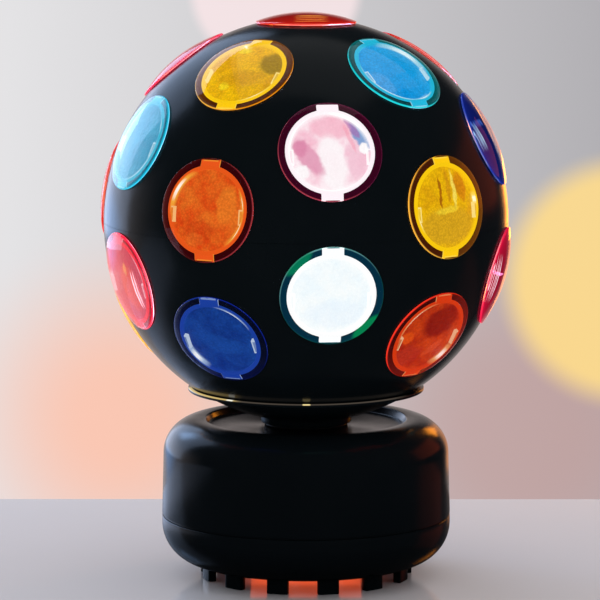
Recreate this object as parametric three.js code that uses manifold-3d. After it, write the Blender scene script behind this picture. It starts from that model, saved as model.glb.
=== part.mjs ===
// A disco ball lamp: a black ball with snap-in coloured lenses, seated on a dish that a motor
// in the round base turns about a fixed bulb. Millimetres, +Z up, the front looks along -Y.
import * as THREE from 'three';
import { mergeVertices } from 'three/addons/utils/BufferGeometryUtils.js';
import Module from 'manifold-3d';

const wasm = await Module();
wasm.setup();

// Clearances
const SEAT_GAP = 0.3; // between two pieces that rest on or in each other
const CUT_OVERRUN = 3; // how far a cutter runs past the wall that it cuts

// Ball: two half shells of moulded plastic
const BALL_R = 100;
const SHELL_WALL = 2;
const MOUTH_MARGIN = 20.4; // along the ball, from the lowest lenses down to its open lower edge
const LIP_HEIGHT = 3; // seam lip of the lower half, above the equator
const LIP_WALL = 1.6;
const LIP_ROOT = 5; // how far the lip's root reaches below the equator
const LIP_PLAY = 0.4;
const BALL_SEGMENTS = 30;
const BALL_ARC_STEPS = 7;

// Lenses: a domed disc whose rim lies on the shell and whose skirt enters the hole
const LENS_R = 24.7;
const LENS_RIM = 0.9;
const LENS_PROUD = 2.7; // dome's top above the ball's surface
const LENS_WALL = 1.8;
const LENS_LAP = 3.5; // of the rim over the shell round the hole
const SKIRT_PLAY = 0.9;
const SKIRT_WALL = 1.2;
const SKIRT_DEPTH = 5;
const NOTCH_W = 10.4;
const NOTCH_COVER = 1.2; // from the end of a notch to the lens's edge
const NOTCH_PLAY = 0.4;
const LENS_SEGMENTS = 12; // of the lens and of its hole, a flat side towards each notch
const TUBE_SEGMENTS = 16;
const PATTERN_TURN = 7.3; // degrees, how far the ball is turned at rest
const ROW_COUNT = 5;
const ROW_STEP = 360 / ROW_COUNT; // degrees
const HALF_STEP = ROW_STEP / 2;

// Each row of lenses: its latitude and its offset in degrees, and its colours round the ball
const LENS_ROWS = [
  { name: 'crown', latitude: 51, offset: HALF_STEP, colours: ['sky', 'red', 'mint', 'crimson', 'yellow'] },
  { name: 'upper', latitude: 25.4, offset: 0, colours: ['pink', 'blue', 'orange', 'crimson', 'cyan'] },
  {
    name: 'middle', latitude: 8.3, offset: HALF_STEP,
    colours: ['yellow', 'cyan', 'blue', 'vermilion', 'orange'],
  },
  { name: 'lower', latitude: -15, offset: 0, colours: ['mint', 'crimson', 'yellow', 'sky', 'rose'] },
  {
    name: 'bottom', latitude: -29.8, offset: HALF_STEP,
    colours: ['vermilion', 'mint', 'pink', 'yellow', 'blue'],
  },
];
const LOWEST_ROW = LENS_ROWS[LENS_ROWS.length - 1];

// Turntable dish: thin lip, bowl that carries on the ball's curve, neck and hollow hub
const FLANGE_LEDGE = 2.4; // beyond the ball's open edge
const FLANGE_T = 1.6;
const DISH_WALL = 2;
const SPIGOT_PLAY = 1; // between the spigot and the mouth of the ball
const SPIGOT_WALL = 1.6;
const SPIGOT_HEIGHT = 5;
const NECK_LAP = 2; // beyond the bush's flange
const NECK_HEIGHT = 3.16; // from its lower edge up to the bowl
const HUB_PLAY = 4.5; // round the lamp post
const HUB_WALL = 3.5;
const DISH_SEGMENTS = 32;
const DISH_ARC_STEPS = 3;

// Base: upper and lower housing
const BASE_R = 71.8;
const SIDE_DRAFT = 0.8; // how much narrower the side is where it meets the shoulder
const BASE_WALL = 2.5;
const SHOULDER_R = 17;
const HEEL_R = 20; // rounding of the lower edge
const SEAM_RISE = 3.8; // from the top of the heel to the seam
const TOP_RIM_W = 21; // from the recess to the side
const RECESS_BEVEL = 1.6;
const RECESS_DEPTH = 3.2;
const TOP_WALL = 2.4; // under the recess
const TONGUE_HEIGHT = 2.5;
const TONGUE_WALL = 1.5;
const TONGUE_PLAY = 0.4;
const FOOT_REACH = 1; // beyond the flat of the bottom
const FOOT_WALL = 4;
const FOOT_HEIGHT = 7.2;
const FOOT_COUNT = 13;
const FOOT_SLOT = 16; // degrees
const FOOT_TURN = -1.7; // degrees
const BASE_SEGMENTS = 36;
const SHOULDER_STEPS = 3;

// Hub bush in the housing's top
const BUSH_WALL = 2.4;
const BUSH_LEDGE = 4.8; // width of its flange
const BUSH_FLANGE_T = 1;
const BUSH_DEPTH = 4.4; // below the recess floor

// Gear train, straight flanks
const GEAR_TEETH = 48;
const PINION_TEETH = 16;
const GEAR_FACE = 6;
const GEAR_DROP = 0.8; // below the bush
const GEAR_BACKLASH = 0.5;
const ADDENDUM_SHARE = 1;
const DEDENDUM_SHARE = 1.25;
const TIP_WIDTH_SHARE = 0.5; // of the tooth's width at the pitch circle
const ROOT_WIDTH_SHARE = 1.35;
const RETAINER_WIDTH = 4.2;
const RETAINER_T = 1.8;

// Chassis deck
const DECK_PLAY = 2; // inside the case columns
const DECK_T = 2;
const DECK_BOSS_R = 4;
const DECK_SCREW_INSET = 8;
const DECK_SCREW_ANGLES = [90, 180, 270];

// Motor: flat synchronous gear motor with two ears, between the lamp post and the side wall
const MOTOR_POST_GAP = 15; // from the post's axis
const MOTOR_WALL_GAP = 4.3;
const MOTOR_HEIGHT = 19.5;
const MOTOR_BOSS_R = 9.6;
const MOTOR_BOSS_RISE = 1.4; // above the deck
const EAR_REACH = 4; // from the can to the ear's screw
const EAR_WIDTH = 10;
const EAR_T = 1.2;
const EAR_BOSS_R = 3.4;
const EAR_BOSS_HEIGHT = 4;
const SHAFT_R = 3;
const SHAFT_DEPTH = 11; // inside the motor
const ROUND_SEGMENTS = 20;

// Screws
const SCREW_R = 1.4;
const SCREW_HEAD_R = 2.8;
const SCREW_HEAD_T = 1.8;
const MOTOR_SCREW_LENGTH = 6;
const DECK_SCREW_LENGTH = 11;
const CASE_SCREW_LENGTH = 22;
const SCREW_SEGMENTS = 8;
const CASE_COLUMN_R = 4;
const CASE_COLUMN_INSET = 9.3; // of its axis from the housing's wall
const CASE_SCREW_ANGLES = [60, 180, 300];
const CASE_SCREW_DROP = 10; // of its seat below the seam

// Lamp post, holder and bulb
const POST_R = 5;
const POST_WALL = 1.5;
const POST_END = 3.7; // below its lower nut
const NUT_WIDTH = 3;
const NUT_T = 4;
const NUT_HUB_GAP = 0.9;
const HOLDER_WALL = 5.8;
const HOLDER_HEIGHT = 48;
const HOLDER_DROP = 30; // of its top below the ball's centre
const HOLDER_POST_DEPTH = 12;
const WIRE_PLAY = 1.1;
const CAP_R = 7;
const CAP_DEPTH = 25;
const CAP_COLLAR_W = 1.6;
const CAP_COLLAR_T = 1.8;
const CAP_PLAY = 0.7;
const GLOBE_R = 22.5;
const GLOBE_NECK_W = 0.9; // beyond the cap's collar
const GLOBE_WALL = 1;
const GLOBE_STEPS = 5;

// Rocker switch, in its own frame: X across, Z up, Y out of the base
const SWITCH_TURN = 38; // degrees round from the back
const SWITCH_TONGUE_GAP = 1; // from the housing's tongue up to the case
const SWITCH_DECK_GAP = 1.5; // from the case up to the deck
const PADDLE_W = 10;
const PADDLE_H = 16;
const PADDLE_PLAY = 0.9; // at its ends
const PADDLE_SIDE_PLAY = 0.4;
const CASE_SIDE_WALL = 1.1;
const CASE_END_WALL = 0.6;
const CASE_DEPTH = 17;
const BEZEL_LAP = 1;
const BEZEL_T = 1.6;
const PAD_DEPTH = 1.1; // flat cut into the round housing
const PADDLE_PIVOT_DEPTH = 2; // under the housing's flat
const PADDLE_END_RISE = 3.1; // above the flat, both ends level
const PADDLE_MID_RISE = 2;
const PADDLE_KEEL = 3; // below the pivot
const PADDLE_PIN_R = 1.2;
const PADDLE_TIP = 8; // degrees each way from level
const SWITCH_WELL = 8;

// Cord grommet at the back
const GROMMET_TONGUE_GAP = 2.5; // from the housing's tongue up to the flange
const GROMMET_BORE_R = 3.3;
const GROMMET_R = 4.4;
const GROMMET_FLANGE_R = 6;
const GROMMET_FLANGE_T = 2;
const GROMMET_INNER_R = 5.6;
const GROMMET_INNER_T = 1.2;
const GROMMET_PAD_DEPTH = 0.8;

// Terminal block and leads
const BLOCK_SIZE = [22, 10, 11];
const BLOCK_X = -22;
const BLOCK_Y = -20;
const LEAD_R = 1.4;
const LEAD_SIDES = 8;
const LAMP_LEAD_STEPS = 16;
const LEAD_STEPS = 8;
const LEAD_SAG = 6;
const LEAD_RUN = 4; // straight at each end

const degrees = THREE.MathUtils.degToRad;

// Height of a sphere's surface above its centre at a radius from the axis
function sphereHeight(r, radius) {
  return Math.sqrt(r ** 2 - radius ** 2);
}

// Radii that follow from the sizes above
const POST_BORE_R = POST_R - POST_WALL;
const HUB_BORE_R = POST_R + HUB_PLAY;
const HUB_R = HUB_BORE_R + HUB_WALL;
const HUB_SEAT_R = HUB_R + SEAT_GAP;
const BUSH_R = HUB_SEAT_R + BUSH_WALL;
const BUSH_FLANGE_R = BUSH_R + BUSH_LEDGE;
const NECK_R = BUSH_FLANGE_R + NECK_LAP;
const RETAINER_R = HUB_SEAT_R + RETAINER_WIDTH;
const NUT_R = POST_R + NUT_WIDTH;
const SOCKET_R = CAP_R + CAP_PLAY;
const HOLDER_R = SOCKET_R + HOLDER_WALL;
const HOLDER_WIRE_R = LEAD_R + WIRE_PLAY;
const CAP_COLLAR_R = CAP_R + CAP_COLLAR_W;
const GLOBE_NECK_R = CAP_COLLAR_R + GLOBE_NECK_W;
const SCREW_HOLE_R = SCREW_R + SEAT_GAP;
const BASE_TOP_R = BASE_R - SIDE_DRAFT;
const RECESS_R = BASE_TOP_R - TOP_RIM_W;
const FOOT_R = BASE_R - HEEL_R + FOOT_REACH;
const HOUSING_IN_R = BASE_R - BASE_WALL;
const CASE_COLUMN_PITCH_R = HOUSING_IN_R - CASE_COLUMN_INSET;
const DECK_R = CASE_COLUMN_PITCH_R - CASE_COLUMN_R - DECK_PLAY;
const DECK_SCREW_PITCH_R = DECK_R - DECK_SCREW_INSET;
const MOTOR_R = (HOUSING_IN_R - MOTOR_WALL_GAP - MOTOR_POST_GAP) / 2;
const MOTOR_X = MOTOR_POST_GAP + MOTOR_R;
const EAR_SPACING = 2 * (MOTOR_R + EAR_REACH);
const GEAR_MODULE = (2 * MOTOR_X) / (GEAR_TEETH + PINION_TEETH);
const CASE_W = PADDLE_W + 2 * (PADDLE_SIDE_PLAY + CASE_SIDE_WALL);
const CASE_H = PADDLE_H + 2 * (PADDLE_PLAY + CASE_END_WALL);
const BEZEL_W = CASE_W + 2 * BEZEL_LAP;
const BEZEL_H = CASE_H + 2 * BEZEL_LAP;
const HOLE_R = LENS_R - LENS_LAP;
const SKIRT_R = HOLE_R - SKIRT_PLAY;
const NOTCH_REACH = LENS_R - NOTCH_COVER;
const LENS_FLAT_TURN = Math.PI / LENS_SEGMENTS;
const SHELL_INNER_R = BALL_R - SHELL_WALL;

// The ball's open lower edge: its angle below the equator, its depth and its radius
const MOUTH_ANGLE = degrees(-LOWEST_ROW.latitude) + Math.asin(LENS_R / BALL_R) + MOUTH_MARGIN / BALL_R;
const MOUTH_DROP = BALL_R * Math.sin(MOUTH_ANGLE);
const MOUTH_R = BALL_R * Math.cos(MOUTH_ANGLE);
const SPIGOT_R = sphereHeight(SHELL_INNER_R, MOUTH_DROP) - SPIGOT_PLAY;
const FLANGE_R = MOUTH_R + FLANGE_LEDGE;

// Heights, stacked from the feet up
const BASE_SEAM_Z = FOOT_HEIGHT + HEEL_R + SEAM_RISE;
const TONGUE_TOP_Z = BASE_SEAM_Z + TONGUE_HEIGHT;
const CASE_SCREW_Z = BASE_SEAM_Z - CASE_SCREW_DROP;
const SWITCH_Z = TONGUE_TOP_Z + SWITCH_TONGUE_GAP + CASE_H / 2;
const GROMMET_Z = TONGUE_TOP_Z + GROMMET_TONGUE_GAP + GROMMET_FLANGE_R;
const DECK_Z = SWITCH_Z + CASE_H / 2 + SWITCH_DECK_GAP; // underside
const DECK_TOP_Z = DECK_Z + DECK_T;
const MOTOR_TOP_Z = DECK_Z - SEAT_GAP - EAR_T;
const MOTOR_Z = MOTOR_TOP_Z - MOTOR_HEIGHT;
const LOWER_NUT_Z = DECK_Z - SEAT_GAP - NUT_T;
const POST_LOW_Z = LOWER_NUT_Z - POST_END;
const HUB_BOTTOM_Z = DECK_TOP_Z + SEAT_GAP + NUT_T + NUT_HUB_GAP;
const RETAINER_Z = HUB_BOTTOM_Z + SEAT_GAP;
const GEAR_Z = RETAINER_Z + RETAINER_T + SEAT_GAP;
const GEAR_TOP_Z = GEAR_Z + GEAR_FACE;
const BUSH_BOTTOM_Z = GEAR_TOP_Z + GEAR_DROP;
const RECESS_Z = BUSH_BOTTOM_Z + BUSH_DEPTH;
const TOP_UNDER_Z = RECESS_Z - TOP_WALL;
const BASE_TOP_Z = RECESS_Z + RECESS_DEPTH;
const BUSH_TOP_Z = RECESS_Z + SEAT_GAP + BUSH_FLANGE_T;
const NECK_Z = BUSH_TOP_Z + SEAT_GAP;
const BALL_CENTRE_Z = NECK_Z + NECK_HEIGHT + sphereHeight(BALL_R, NECK_R);
const FLANGE_TOP_Z = BALL_CENTRE_Z - MOUTH_DROP - SEAT_GAP;
const HOLDER_TOP_Z = BALL_CENTRE_Z - HOLDER_DROP;
const HOLDER_Z = HOLDER_TOP_Z - HOLDER_HEIGHT;

// Materials
const plastic = (color, roughness) => new THREE.MeshStandardMaterial({ color, roughness, metalness: 0 });
const metal = (color, roughness) => new THREE.MeshStandardMaterial({ color, roughness, metalness: 1 });
const BLACK = plastic(0x0d0d10, 0.35);
const BASE_BLACK = plastic(0x141416, 0.5);
const NYLON = plastic(0xe8e4d8, 0.5);
const GREY = plastic(0x55585c, 0.6);
const WHITE = plastic(0xf0eee8, 0.4);
const STEEL = metal(0xa8abb0, 0.35);
const BRASS = metal(0xb89a4a, 0.35);
const GLASS = plastic(0xf4f0e4, 0.08);
const LENS_COLOURS = {
  red: plastic(0xc81e14, 0.1),
  vermilion: plastic(0xd83a22, 0.1),
  rose: plastic(0xeb3246, 0.1),
  crimson: plastic(0xbe1446, 0.1),
  pink: plastic(0xfad2e1, 0.1),
  orange: plastic(0xeb5f1e, 0.1),
  yellow: plastic(0xebc314, 0.1),
  mint: plastic(0xd8f6ee, 0.1),
  cyan: plastic(0x5ac8dc, 0.1),
  sky: plastic(0x00a0e1, 0.1),
  blue: plastic(0x143296, 0.1),
};

// Points on an arc in the half plane of a lathe, from one angle to another
function arc(r, centreR, centreZ, from, to, steps) {
  return Array.from({ length: steps + 1 }, (_, i) => {
    const angle = from + ((to - from) * i) / steps;
    return [centreR + r * Math.cos(angle), centreZ + r * Math.sin(angle)];
  });
}

// A body of revolution about Z from points [radius, height] that start and end on the axis
function lathe(points, segments) {
  const outline = points.map(([r, z]) => new THREE.Vector2(r, z));
  return new THREE.LatheGeometry(outline, segments).rotateX(Math.PI / 2);
}

// A ring about Z from a closed outline clear of the axis
function latheRing(points, segments) {
  return lathe([...points, points[0]], segments);
}

function cylinder(r, z0, z1, segments) {
  return lathe([[0, z0], [r, z0], [r, z1], [0, z1]], segments);
}

function box(width, depth, height, x, y, z) {
  return new THREE.BoxGeometry(width, depth, height).translate(x, y, z);
}

function toSolid(geometry) {
  const bare = geometry.clone();
  bare.deleteAttribute('normal');
  bare.deleteAttribute('uv');
  const merged = mergeVertices(bare);
  const mesh = new wasm.Mesh({
    numProp: 3,
    vertProperties: Float32Array.from(merged.attributes.position.array),
    triVerts: Uint32Array.from(merged.index.array),
  });
  return new wasm.Manifold(mesh);
}

function toGeometry(solid) {
  const mesh = solid.getMesh();
  const geometry = new THREE.BufferGeometry();
  geometry.setAttribute('position', new THREE.BufferAttribute(mesh.vertProperties, 3));
  geometry.setIndex(new THREE.BufferAttribute(mesh.triVerts, 1));
  return geometry;
}

function joined(geometries) {
  return geometries.map(toSolid).reduce((sum, solid) => sum.add(solid));
}

// One body with others added to it and cutters taken away
function carved(base, additions, cutters) {
  const whole = joined([base, ...additions]);
  return toGeometry(cutters.length ? whole.subtract(joined(cutters)) : whole);
}

function piece(name, geometry, material) {
  const mesh = new THREE.Mesh(geometry, material);
  mesh.name = name;
  return mesh;
}

function at(object, x, y, z) {
  object.position.set(x, y, z);
  return object;
}

function onCircle(r, angle) {
  return [r * Math.cos(degrees(angle)), r * Math.sin(degrees(angle))];
}

// A lens's place: its local Z points out of the ball and its local Y up the meridian
function lensPlace(latitude, azimuth) {
  const turn = new THREE.Matrix4().makeRotationZ(degrees(azimuth));
  const tilt = new THREE.Matrix4().makeRotationX(degrees(90 - latitude));
  return turn.multiply(tilt);
}

function lensPlaces() {
  const places = [{ name: 'lens_pole', colour: 'red', matrix: lensPlace(90, PATTERN_TURN) }];
  for (const row of LENS_ROWS) {
    for (let k = 0; k < ROW_COUNT; k += 1) {
      const azimuth = PATTERN_TURN + row.offset + ROW_STEP * k;
      const matrix = lensPlace(row.latitude, azimuth);
      places.push({ name: `lens_${row.name}_${k + 1}`, colour: row.colours[k], matrix });
    }
  }
  return places;
}

function lensGeometry() {
  const seatR = BALL_R + SEAT_GAP;
  const rimLow = sphereHeight(seatR, LENS_R);
  const rimHigh = rimLow + LENS_RIM;
  const apex = BALL_R + LENS_PROUD;
  const sagitta = apex - rimHigh;
  const domeR = (LENS_R ** 2 + sagitta ** 2) / (2 * sagitta);
  const domeZ = apex - domeR;
  const skirtTop = sphereHeight(seatR, SKIRT_R);
  const skirtLow = skirtTop - SKIRT_DEPTH;
  const boreR = SKIRT_R - SKIRT_WALL;
  const outer = arc(domeR, 0, domeZ, Math.asin(rimHigh / domeR - domeZ / domeR), Math.PI / 2, 2);
  outer[outer.length - 1][0] = 0;
  const profile = [
    [0, apex - LENS_WALL],
    [boreR, domeZ + sphereHeight(domeR, boreR) - LENS_WALL],
    [boreR, skirtLow],
    [SKIRT_R, skirtLow],
    [SKIRT_R, skirtTop],
    [LENS_R, rimLow],
    ...outer,
  ];
  const tabEnd = NOTCH_REACH - NOTCH_PLAY;
  const tabLength = tabEnd - boreR - SKIRT_WALL / 2;
  const tabTop = rimLow + LENS_RIM / 2;
  const tabs = [-1, 1].map((side) =>
    box(NOTCH_W - 2 * SEAT_GAP, tabLength, tabTop - skirtLow,
      0, side * (tabEnd - tabLength / 2), (tabTop + skirtLow) / 2));
  return carved(lathe(profile, LENS_SEGMENTS).rotateZ(LENS_FLAT_TURN), tabs, []);
}

// The hole behind one lens: round, with a notch up and down the meridian
function holeCutter(matrix) {
  const low = BALL_R - SHELL_WALL - LIP_WALL - 2 * CUT_OVERRUN;
  const high = BALL_R + CUT_OVERRUN;
  const round = cylinder(HOLE_R, low, high, LENS_SEGMENTS).rotateZ(LENS_FLAT_TURN);
  const notch = box(NOTCH_W, 2 * NOTCH_REACH, high - low, 0, 0, (high + low) / 2);
  return joined([round, notch]).transform(matrix.elements);
}

function withHoles(geometry) {
  const cutters = lensPlaces().map((place) => holeCutter(place.matrix));
  const cutter = cutters.reduce((sum, solid) => sum.add(solid));
  return toGeometry(toSolid(geometry).subtract(cutter));
}

function upperShell() {
  const seam = SEAT_GAP / 2;
  const start = Math.asin(seam / BALL_R);
  const innerStart = Math.asin(seam / SHELL_INNER_R);
  const outer = arc(BALL_R, 0, 0, start, Math.PI / 2, BALL_ARC_STEPS);
  const inner = arc(SHELL_INNER_R, 0, 0, Math.PI / 2, innerStart, BALL_ARC_STEPS);
  outer[outer.length - 1][0] = 0;
  inner[0][0] = 0;
  return withHoles(lathe([...inner, ...outer], BALL_SEGMENTS));
}

function lowerShell() {
  const seam = -SEAT_GAP / 2;
  const lipOuter = SHELL_INNER_R - LIP_PLAY;
  const lipInner = lipOuter - LIP_WALL;
  const outer = arc(BALL_R, 0, 0, -MOUTH_ANGLE, Math.asin(seam / BALL_R), BALL_ARC_STEPS);
  const innerTop = -Math.asin(LIP_ROOT / SHELL_INNER_R);
  const innerLow = -Math.asin(MOUTH_DROP / SHELL_INNER_R);
  const inner = arc(SHELL_INNER_R, 0, 0, innerTop, innerLow, BALL_ARC_STEPS);
  const lip = [[lipOuter, seam], [lipOuter, LIP_HEIGHT], [lipInner, LIP_HEIGHT], [lipInner, -LIP_ROOT]];
  return withHoles(latheRing([...outer, ...lip, ...inner], BALL_SEGMENTS));
}

function dish() {
  const bowlInR = BALL_R - DISH_WALL;
  const spigotIn = SPIGOT_R - SPIGOT_WALL;
  const flangeUnder = FLANGE_TOP_Z - FLANGE_T;
  const outerFrom = -Math.asin((BALL_CENTRE_Z - flangeUnder) / BALL_R);
  const outerTo = -Math.acos(NECK_R / BALL_R);
  const innerFrom = -Math.acos(HUB_BORE_R / bowlInR);
  const innerTo = -Math.acos(spigotIn / bowlInR);
  return latheRing([
    [SPIGOT_R, FLANGE_TOP_Z + SPIGOT_HEIGHT],
    [spigotIn, FLANGE_TOP_Z + SPIGOT_HEIGHT],
    ...arc(bowlInR, 0, BALL_CENTRE_Z, innerTo, innerFrom, DISH_ARC_STEPS),
    [HUB_BORE_R, HUB_BOTTOM_Z],
    [HUB_R, HUB_BOTTOM_Z],
    [HUB_R, NECK_Z],
    [NECK_R, NECK_Z],
    ...arc(BALL_R, 0, BALL_CENTRE_Z, outerTo, outerFrom, DISH_ARC_STEPS),
    [FLANGE_R, flangeUnder],
    [FLANGE_R, FLANGE_TOP_Z],
    [SPIGOT_R, FLANGE_TOP_Z],
  ], DISH_SEGMENTS);
}

// Outline of a straight-flanked gear, tooth 0 centred on the angle given
function gearOutline(teeth, centreAngle) {
  const pitchR = (GEAR_MODULE * teeth) / 2;
  const tipR = pitchR + ADDENDUM_SHARE * GEAR_MODULE;
  const rootR = pitchR - DEDENDUM_SHARE * GEAR_MODULE;
  const half = ((Math.PI * GEAR_MODULE) / 2 - GEAR_BACKLASH) / 2 / pitchR;
  const flank = [[rootR, ROOT_WIDTH_SHARE], [tipR, TIP_WIDTH_SHARE]];
  const corners = [...flank.map(([r, share]) => [r, -share]), ...flank.reverse()];
  const points = [];
  for (let tooth = 0; tooth < teeth; tooth += 1) {
    for (const [r, share] of corners) {
      const angle = centreAngle + (2 * Math.PI * tooth) / teeth + share * half;
      points.push(new THREE.Vector2(r * Math.cos(angle), r * Math.sin(angle)));
    }
  }
  return new THREE.Shape(points);
}

function gear(teeth, centreAngle, boreR) {
  const outline = gearOutline(teeth, centreAngle);
  const blank = new THREE.ExtrudeGeometry(outline, { depth: GEAR_FACE, bevelEnabled: false, steps: 1 });
  const bore = cylinder(boreR, -CUT_OVERRUN, GEAR_FACE + CUT_OVERRUN, ROUND_SEGMENTS);
  return carved(blank, [], [bore]);
}

// A pan-head screw along +Z, its head's underside at the origin
function screw(length) {
  return lathe([
    [0, -SCREW_HEAD_T], [SCREW_HEAD_R, -SCREW_HEAD_T], [SCREW_HEAD_R, 0],
    [SCREW_R, 0], [SCREW_R, length], [0, length],
  ], SCREW_SEGMENTS);
}

function columnAt(pitchR, angle, r, z0, z1) {
  const [x, y] = onCircle(pitchR, angle);
  return cylinder(r, z0, z1, SCREW_SEGMENTS).translate(x, y, 0);
}

// Radius of the upper housing's outer side at a height
function sideRadius(z) {
  const share = (z - BASE_SEAM_Z) / (BASE_TOP_Z - SHOULDER_R - BASE_SEAM_Z);
  return BASE_R + (BASE_TOP_R - BASE_R) * share;
}

function upperHousing() {
  const low = BASE_SEAM_Z + SEAT_GAP / 2;
  const shoulderR = BASE_TOP_R - SHOULDER_R;
  const shoulderZ = BASE_TOP_Z - SHOULDER_R;
  const innerArcR = SHOULDER_R - BASE_WALL;
  const innerEnd = Math.asin((TOP_UNDER_Z - shoulderZ) / innerArcR);
  const holeR = BUSH_R + SEAT_GAP;
  const shell = latheRing([
    [BASE_R, low],
    ...arc(SHOULDER_R, shoulderR, shoulderZ, 0, Math.PI / 2, SHOULDER_STEPS),
    [RECESS_R, BASE_TOP_Z],
    [RECESS_R - RECESS_BEVEL, RECESS_Z],
    [holeR, RECESS_Z],
    [holeR, TOP_UNDER_Z],
    ...arc(innerArcR, shoulderR, shoulderZ, innerEnd, 0, SHOULDER_STEPS),
    [HOUSING_IN_R, low],
  ], BASE_SEGMENTS);
  const buried = TOP_WALL / 2;
  const deckBosses = DECK_SCREW_ANGLES.map((angle) =>
    columnAt(DECK_SCREW_PITCH_R, angle, DECK_BOSS_R, DECK_TOP_Z + SEAT_GAP, TOP_UNDER_Z + buried));
  const caseBosses = CASE_SCREW_ANGLES.map((angle) =>
    columnAt(CASE_COLUMN_PITCH_R, angle, CASE_COLUMN_R, low, TOP_UNDER_Z));
  const deckHoles = DECK_SCREW_ANGLES.map((angle) => {
    const top = DECK_TOP_Z + DECK_SCREW_LENGTH;
    return columnAt(DECK_SCREW_PITCH_R, angle, SCREW_HOLE_R, DECK_TOP_Z - CUT_OVERRUN, top);
  });
  const caseHoles = CASE_SCREW_ANGLES.map((angle) => {
    const top = CASE_SCREW_Z + CASE_SCREW_LENGTH + CUT_OVERRUN;
    return columnAt(CASE_COLUMN_PITCH_R, angle, SCREW_HOLE_R, BASE_SEAM_Z - CUT_OVERRUN, top);
  });
  const cutters = [...deckHoles, ...caseHoles, ...switchCutters(), ...grommetCutters()];
  return carved(shell, [...deckBosses, ...caseBosses], cutters);
}

function lowerHousing() {
  const high = BASE_SEAM_Z - SEAT_GAP / 2;
  const heelR = BASE_R - HEEL_R;
  const heelZ = FOOT_HEIGHT + HEEL_R;
  const tongueOut = HOUSING_IN_R - TONGUE_PLAY;
  const tongueIn = tongueOut - TONGUE_WALL;
  const innerHeel = HEEL_R - BASE_WALL;
  const tongueHeel = Math.acos((tongueIn - heelR) / innerHeel);
  const shell = lathe([
    [0, FOOT_HEIGHT],
    ...arc(HEEL_R, heelR, heelZ, -Math.PI / 2, 0, SHOULDER_STEPS),
    [BASE_R, high],
    [tongueOut, high],
    [tongueOut, TONGUE_TOP_Z],
    [tongueIn, TONGUE_TOP_Z],
    ...arc(innerHeel, heelR, heelZ, -tongueHeel, -Math.PI / 2, SHOULDER_STEPS),
    [0, FOOT_HEIGHT + BASE_WALL],
  ], BASE_SEGMENTS);
  const outside = lathe([
    [0, FOOT_HEIGHT],
    ...arc(HEEL_R, heelR, heelZ, -Math.PI / 2, 0, SHOULDER_STEPS),
    [BASE_R, high],
    [0, high],
  ], BASE_SEGMENTS);
  const buried = BASE_WALL / 2;
  const footIn = FOOT_R - FOOT_WALL;
  const footTop = FOOT_HEIGHT + buried;
  const ring = latheRing([[footIn, 0], [FOOT_R, 0], [FOOT_R, footTop], [footIn, footTop]], BASE_SEGMENTS);
  const slots = Array.from({ length: FOOT_COUNT }, (_, k) => {
    const azimuth = FOOT_TURN + (360 / FOOT_COUNT) * k;
    const width = 2 * FOOT_R * Math.sin(degrees(FOOT_SLOT / 2));
    const height = FOOT_HEIGHT + CUT_OVERRUN;
    const slotZ = FOOT_HEIGHT - height / 2;
    const slot = box(width, FOOT_WALL + 2 * CUT_OVERRUN, height, 0, -FOOT_R + FOOT_WALL / 2, slotZ);
    return slot.rotateZ(degrees(azimuth));
  });
  const feet = toGeometry(toSolid(ring).subtract(joined(slots)));
  const posts = CASE_SCREW_ANGLES.map((angle) =>
    columnAt(CASE_COLUMN_PITCH_R, angle, CASE_COLUMN_R, 0, high));
  const columns = toGeometry(joined(posts).intersect(toSolid(outside)));
  const holes = CASE_SCREW_ANGLES.map((angle) =>
    columnAt(CASE_COLUMN_PITCH_R, angle, SCREW_HOLE_R, CASE_SCREW_Z - CUT_OVERRUN, high + CUT_OVERRUN));
  const counterbores = CASE_SCREW_ANGLES.map((angle) =>
    columnAt(CASE_COLUMN_PITCH_R, angle, SCREW_HEAD_R + SEAT_GAP, 0, CASE_SCREW_Z));
  return carved(shell, [feet, columns], [...holes, ...counterbores]);
}

function hubBush() {
  return latheRing([
    [HUB_SEAT_R, BUSH_BOTTOM_Z], [BUSH_R, BUSH_BOTTOM_Z], [BUSH_R, RECESS_Z + SEAT_GAP],
    [BUSH_FLANGE_R, RECESS_Z + SEAT_GAP], [BUSH_FLANGE_R, BUSH_TOP_Z], [HUB_SEAT_R, BUSH_TOP_Z],
  ], ROUND_SEGMENTS);
}

function chassisDeck() {
  const plate = cylinder(DECK_R, DECK_Z, DECK_TOP_Z, BASE_SEGMENTS);
  const ears = [-1, 1].map((side) => (side * EAR_SPACING) / 2);
  const bossTop = DECK_TOP_Z + EAR_BOSS_HEIGHT;
  const bosses = ears.map((y) =>
    cylinder(EAR_BOSS_R, DECK_Z + DECK_T / 2, bossTop, SCREW_SEGMENTS).translate(MOTOR_X, y, 0));
  const low = DECK_Z - CUT_OVERRUN;
  const holes = [
    cylinder(POST_R + SEAT_GAP, low, DECK_TOP_Z + CUT_OVERRUN, ROUND_SEGMENTS),
    cylinder(MOTOR_BOSS_R + SEAT_GAP, low, DECK_TOP_Z + CUT_OVERRUN, ROUND_SEGMENTS).translate(MOTOR_X, 0, 0),
    ...ears.map((y) =>
      cylinder(SCREW_HOLE_R, low, bossTop + CUT_OVERRUN, SCREW_SEGMENTS).translate(MOTOR_X, y, 0)),
    ...DECK_SCREW_ANGLES.map((angle) =>
      columnAt(DECK_SCREW_PITCH_R, angle, SCREW_HOLE_R, low, DECK_TOP_Z + CUT_OVERRUN)),
  ];
  return carved(plate, bosses, holes);
}

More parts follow.
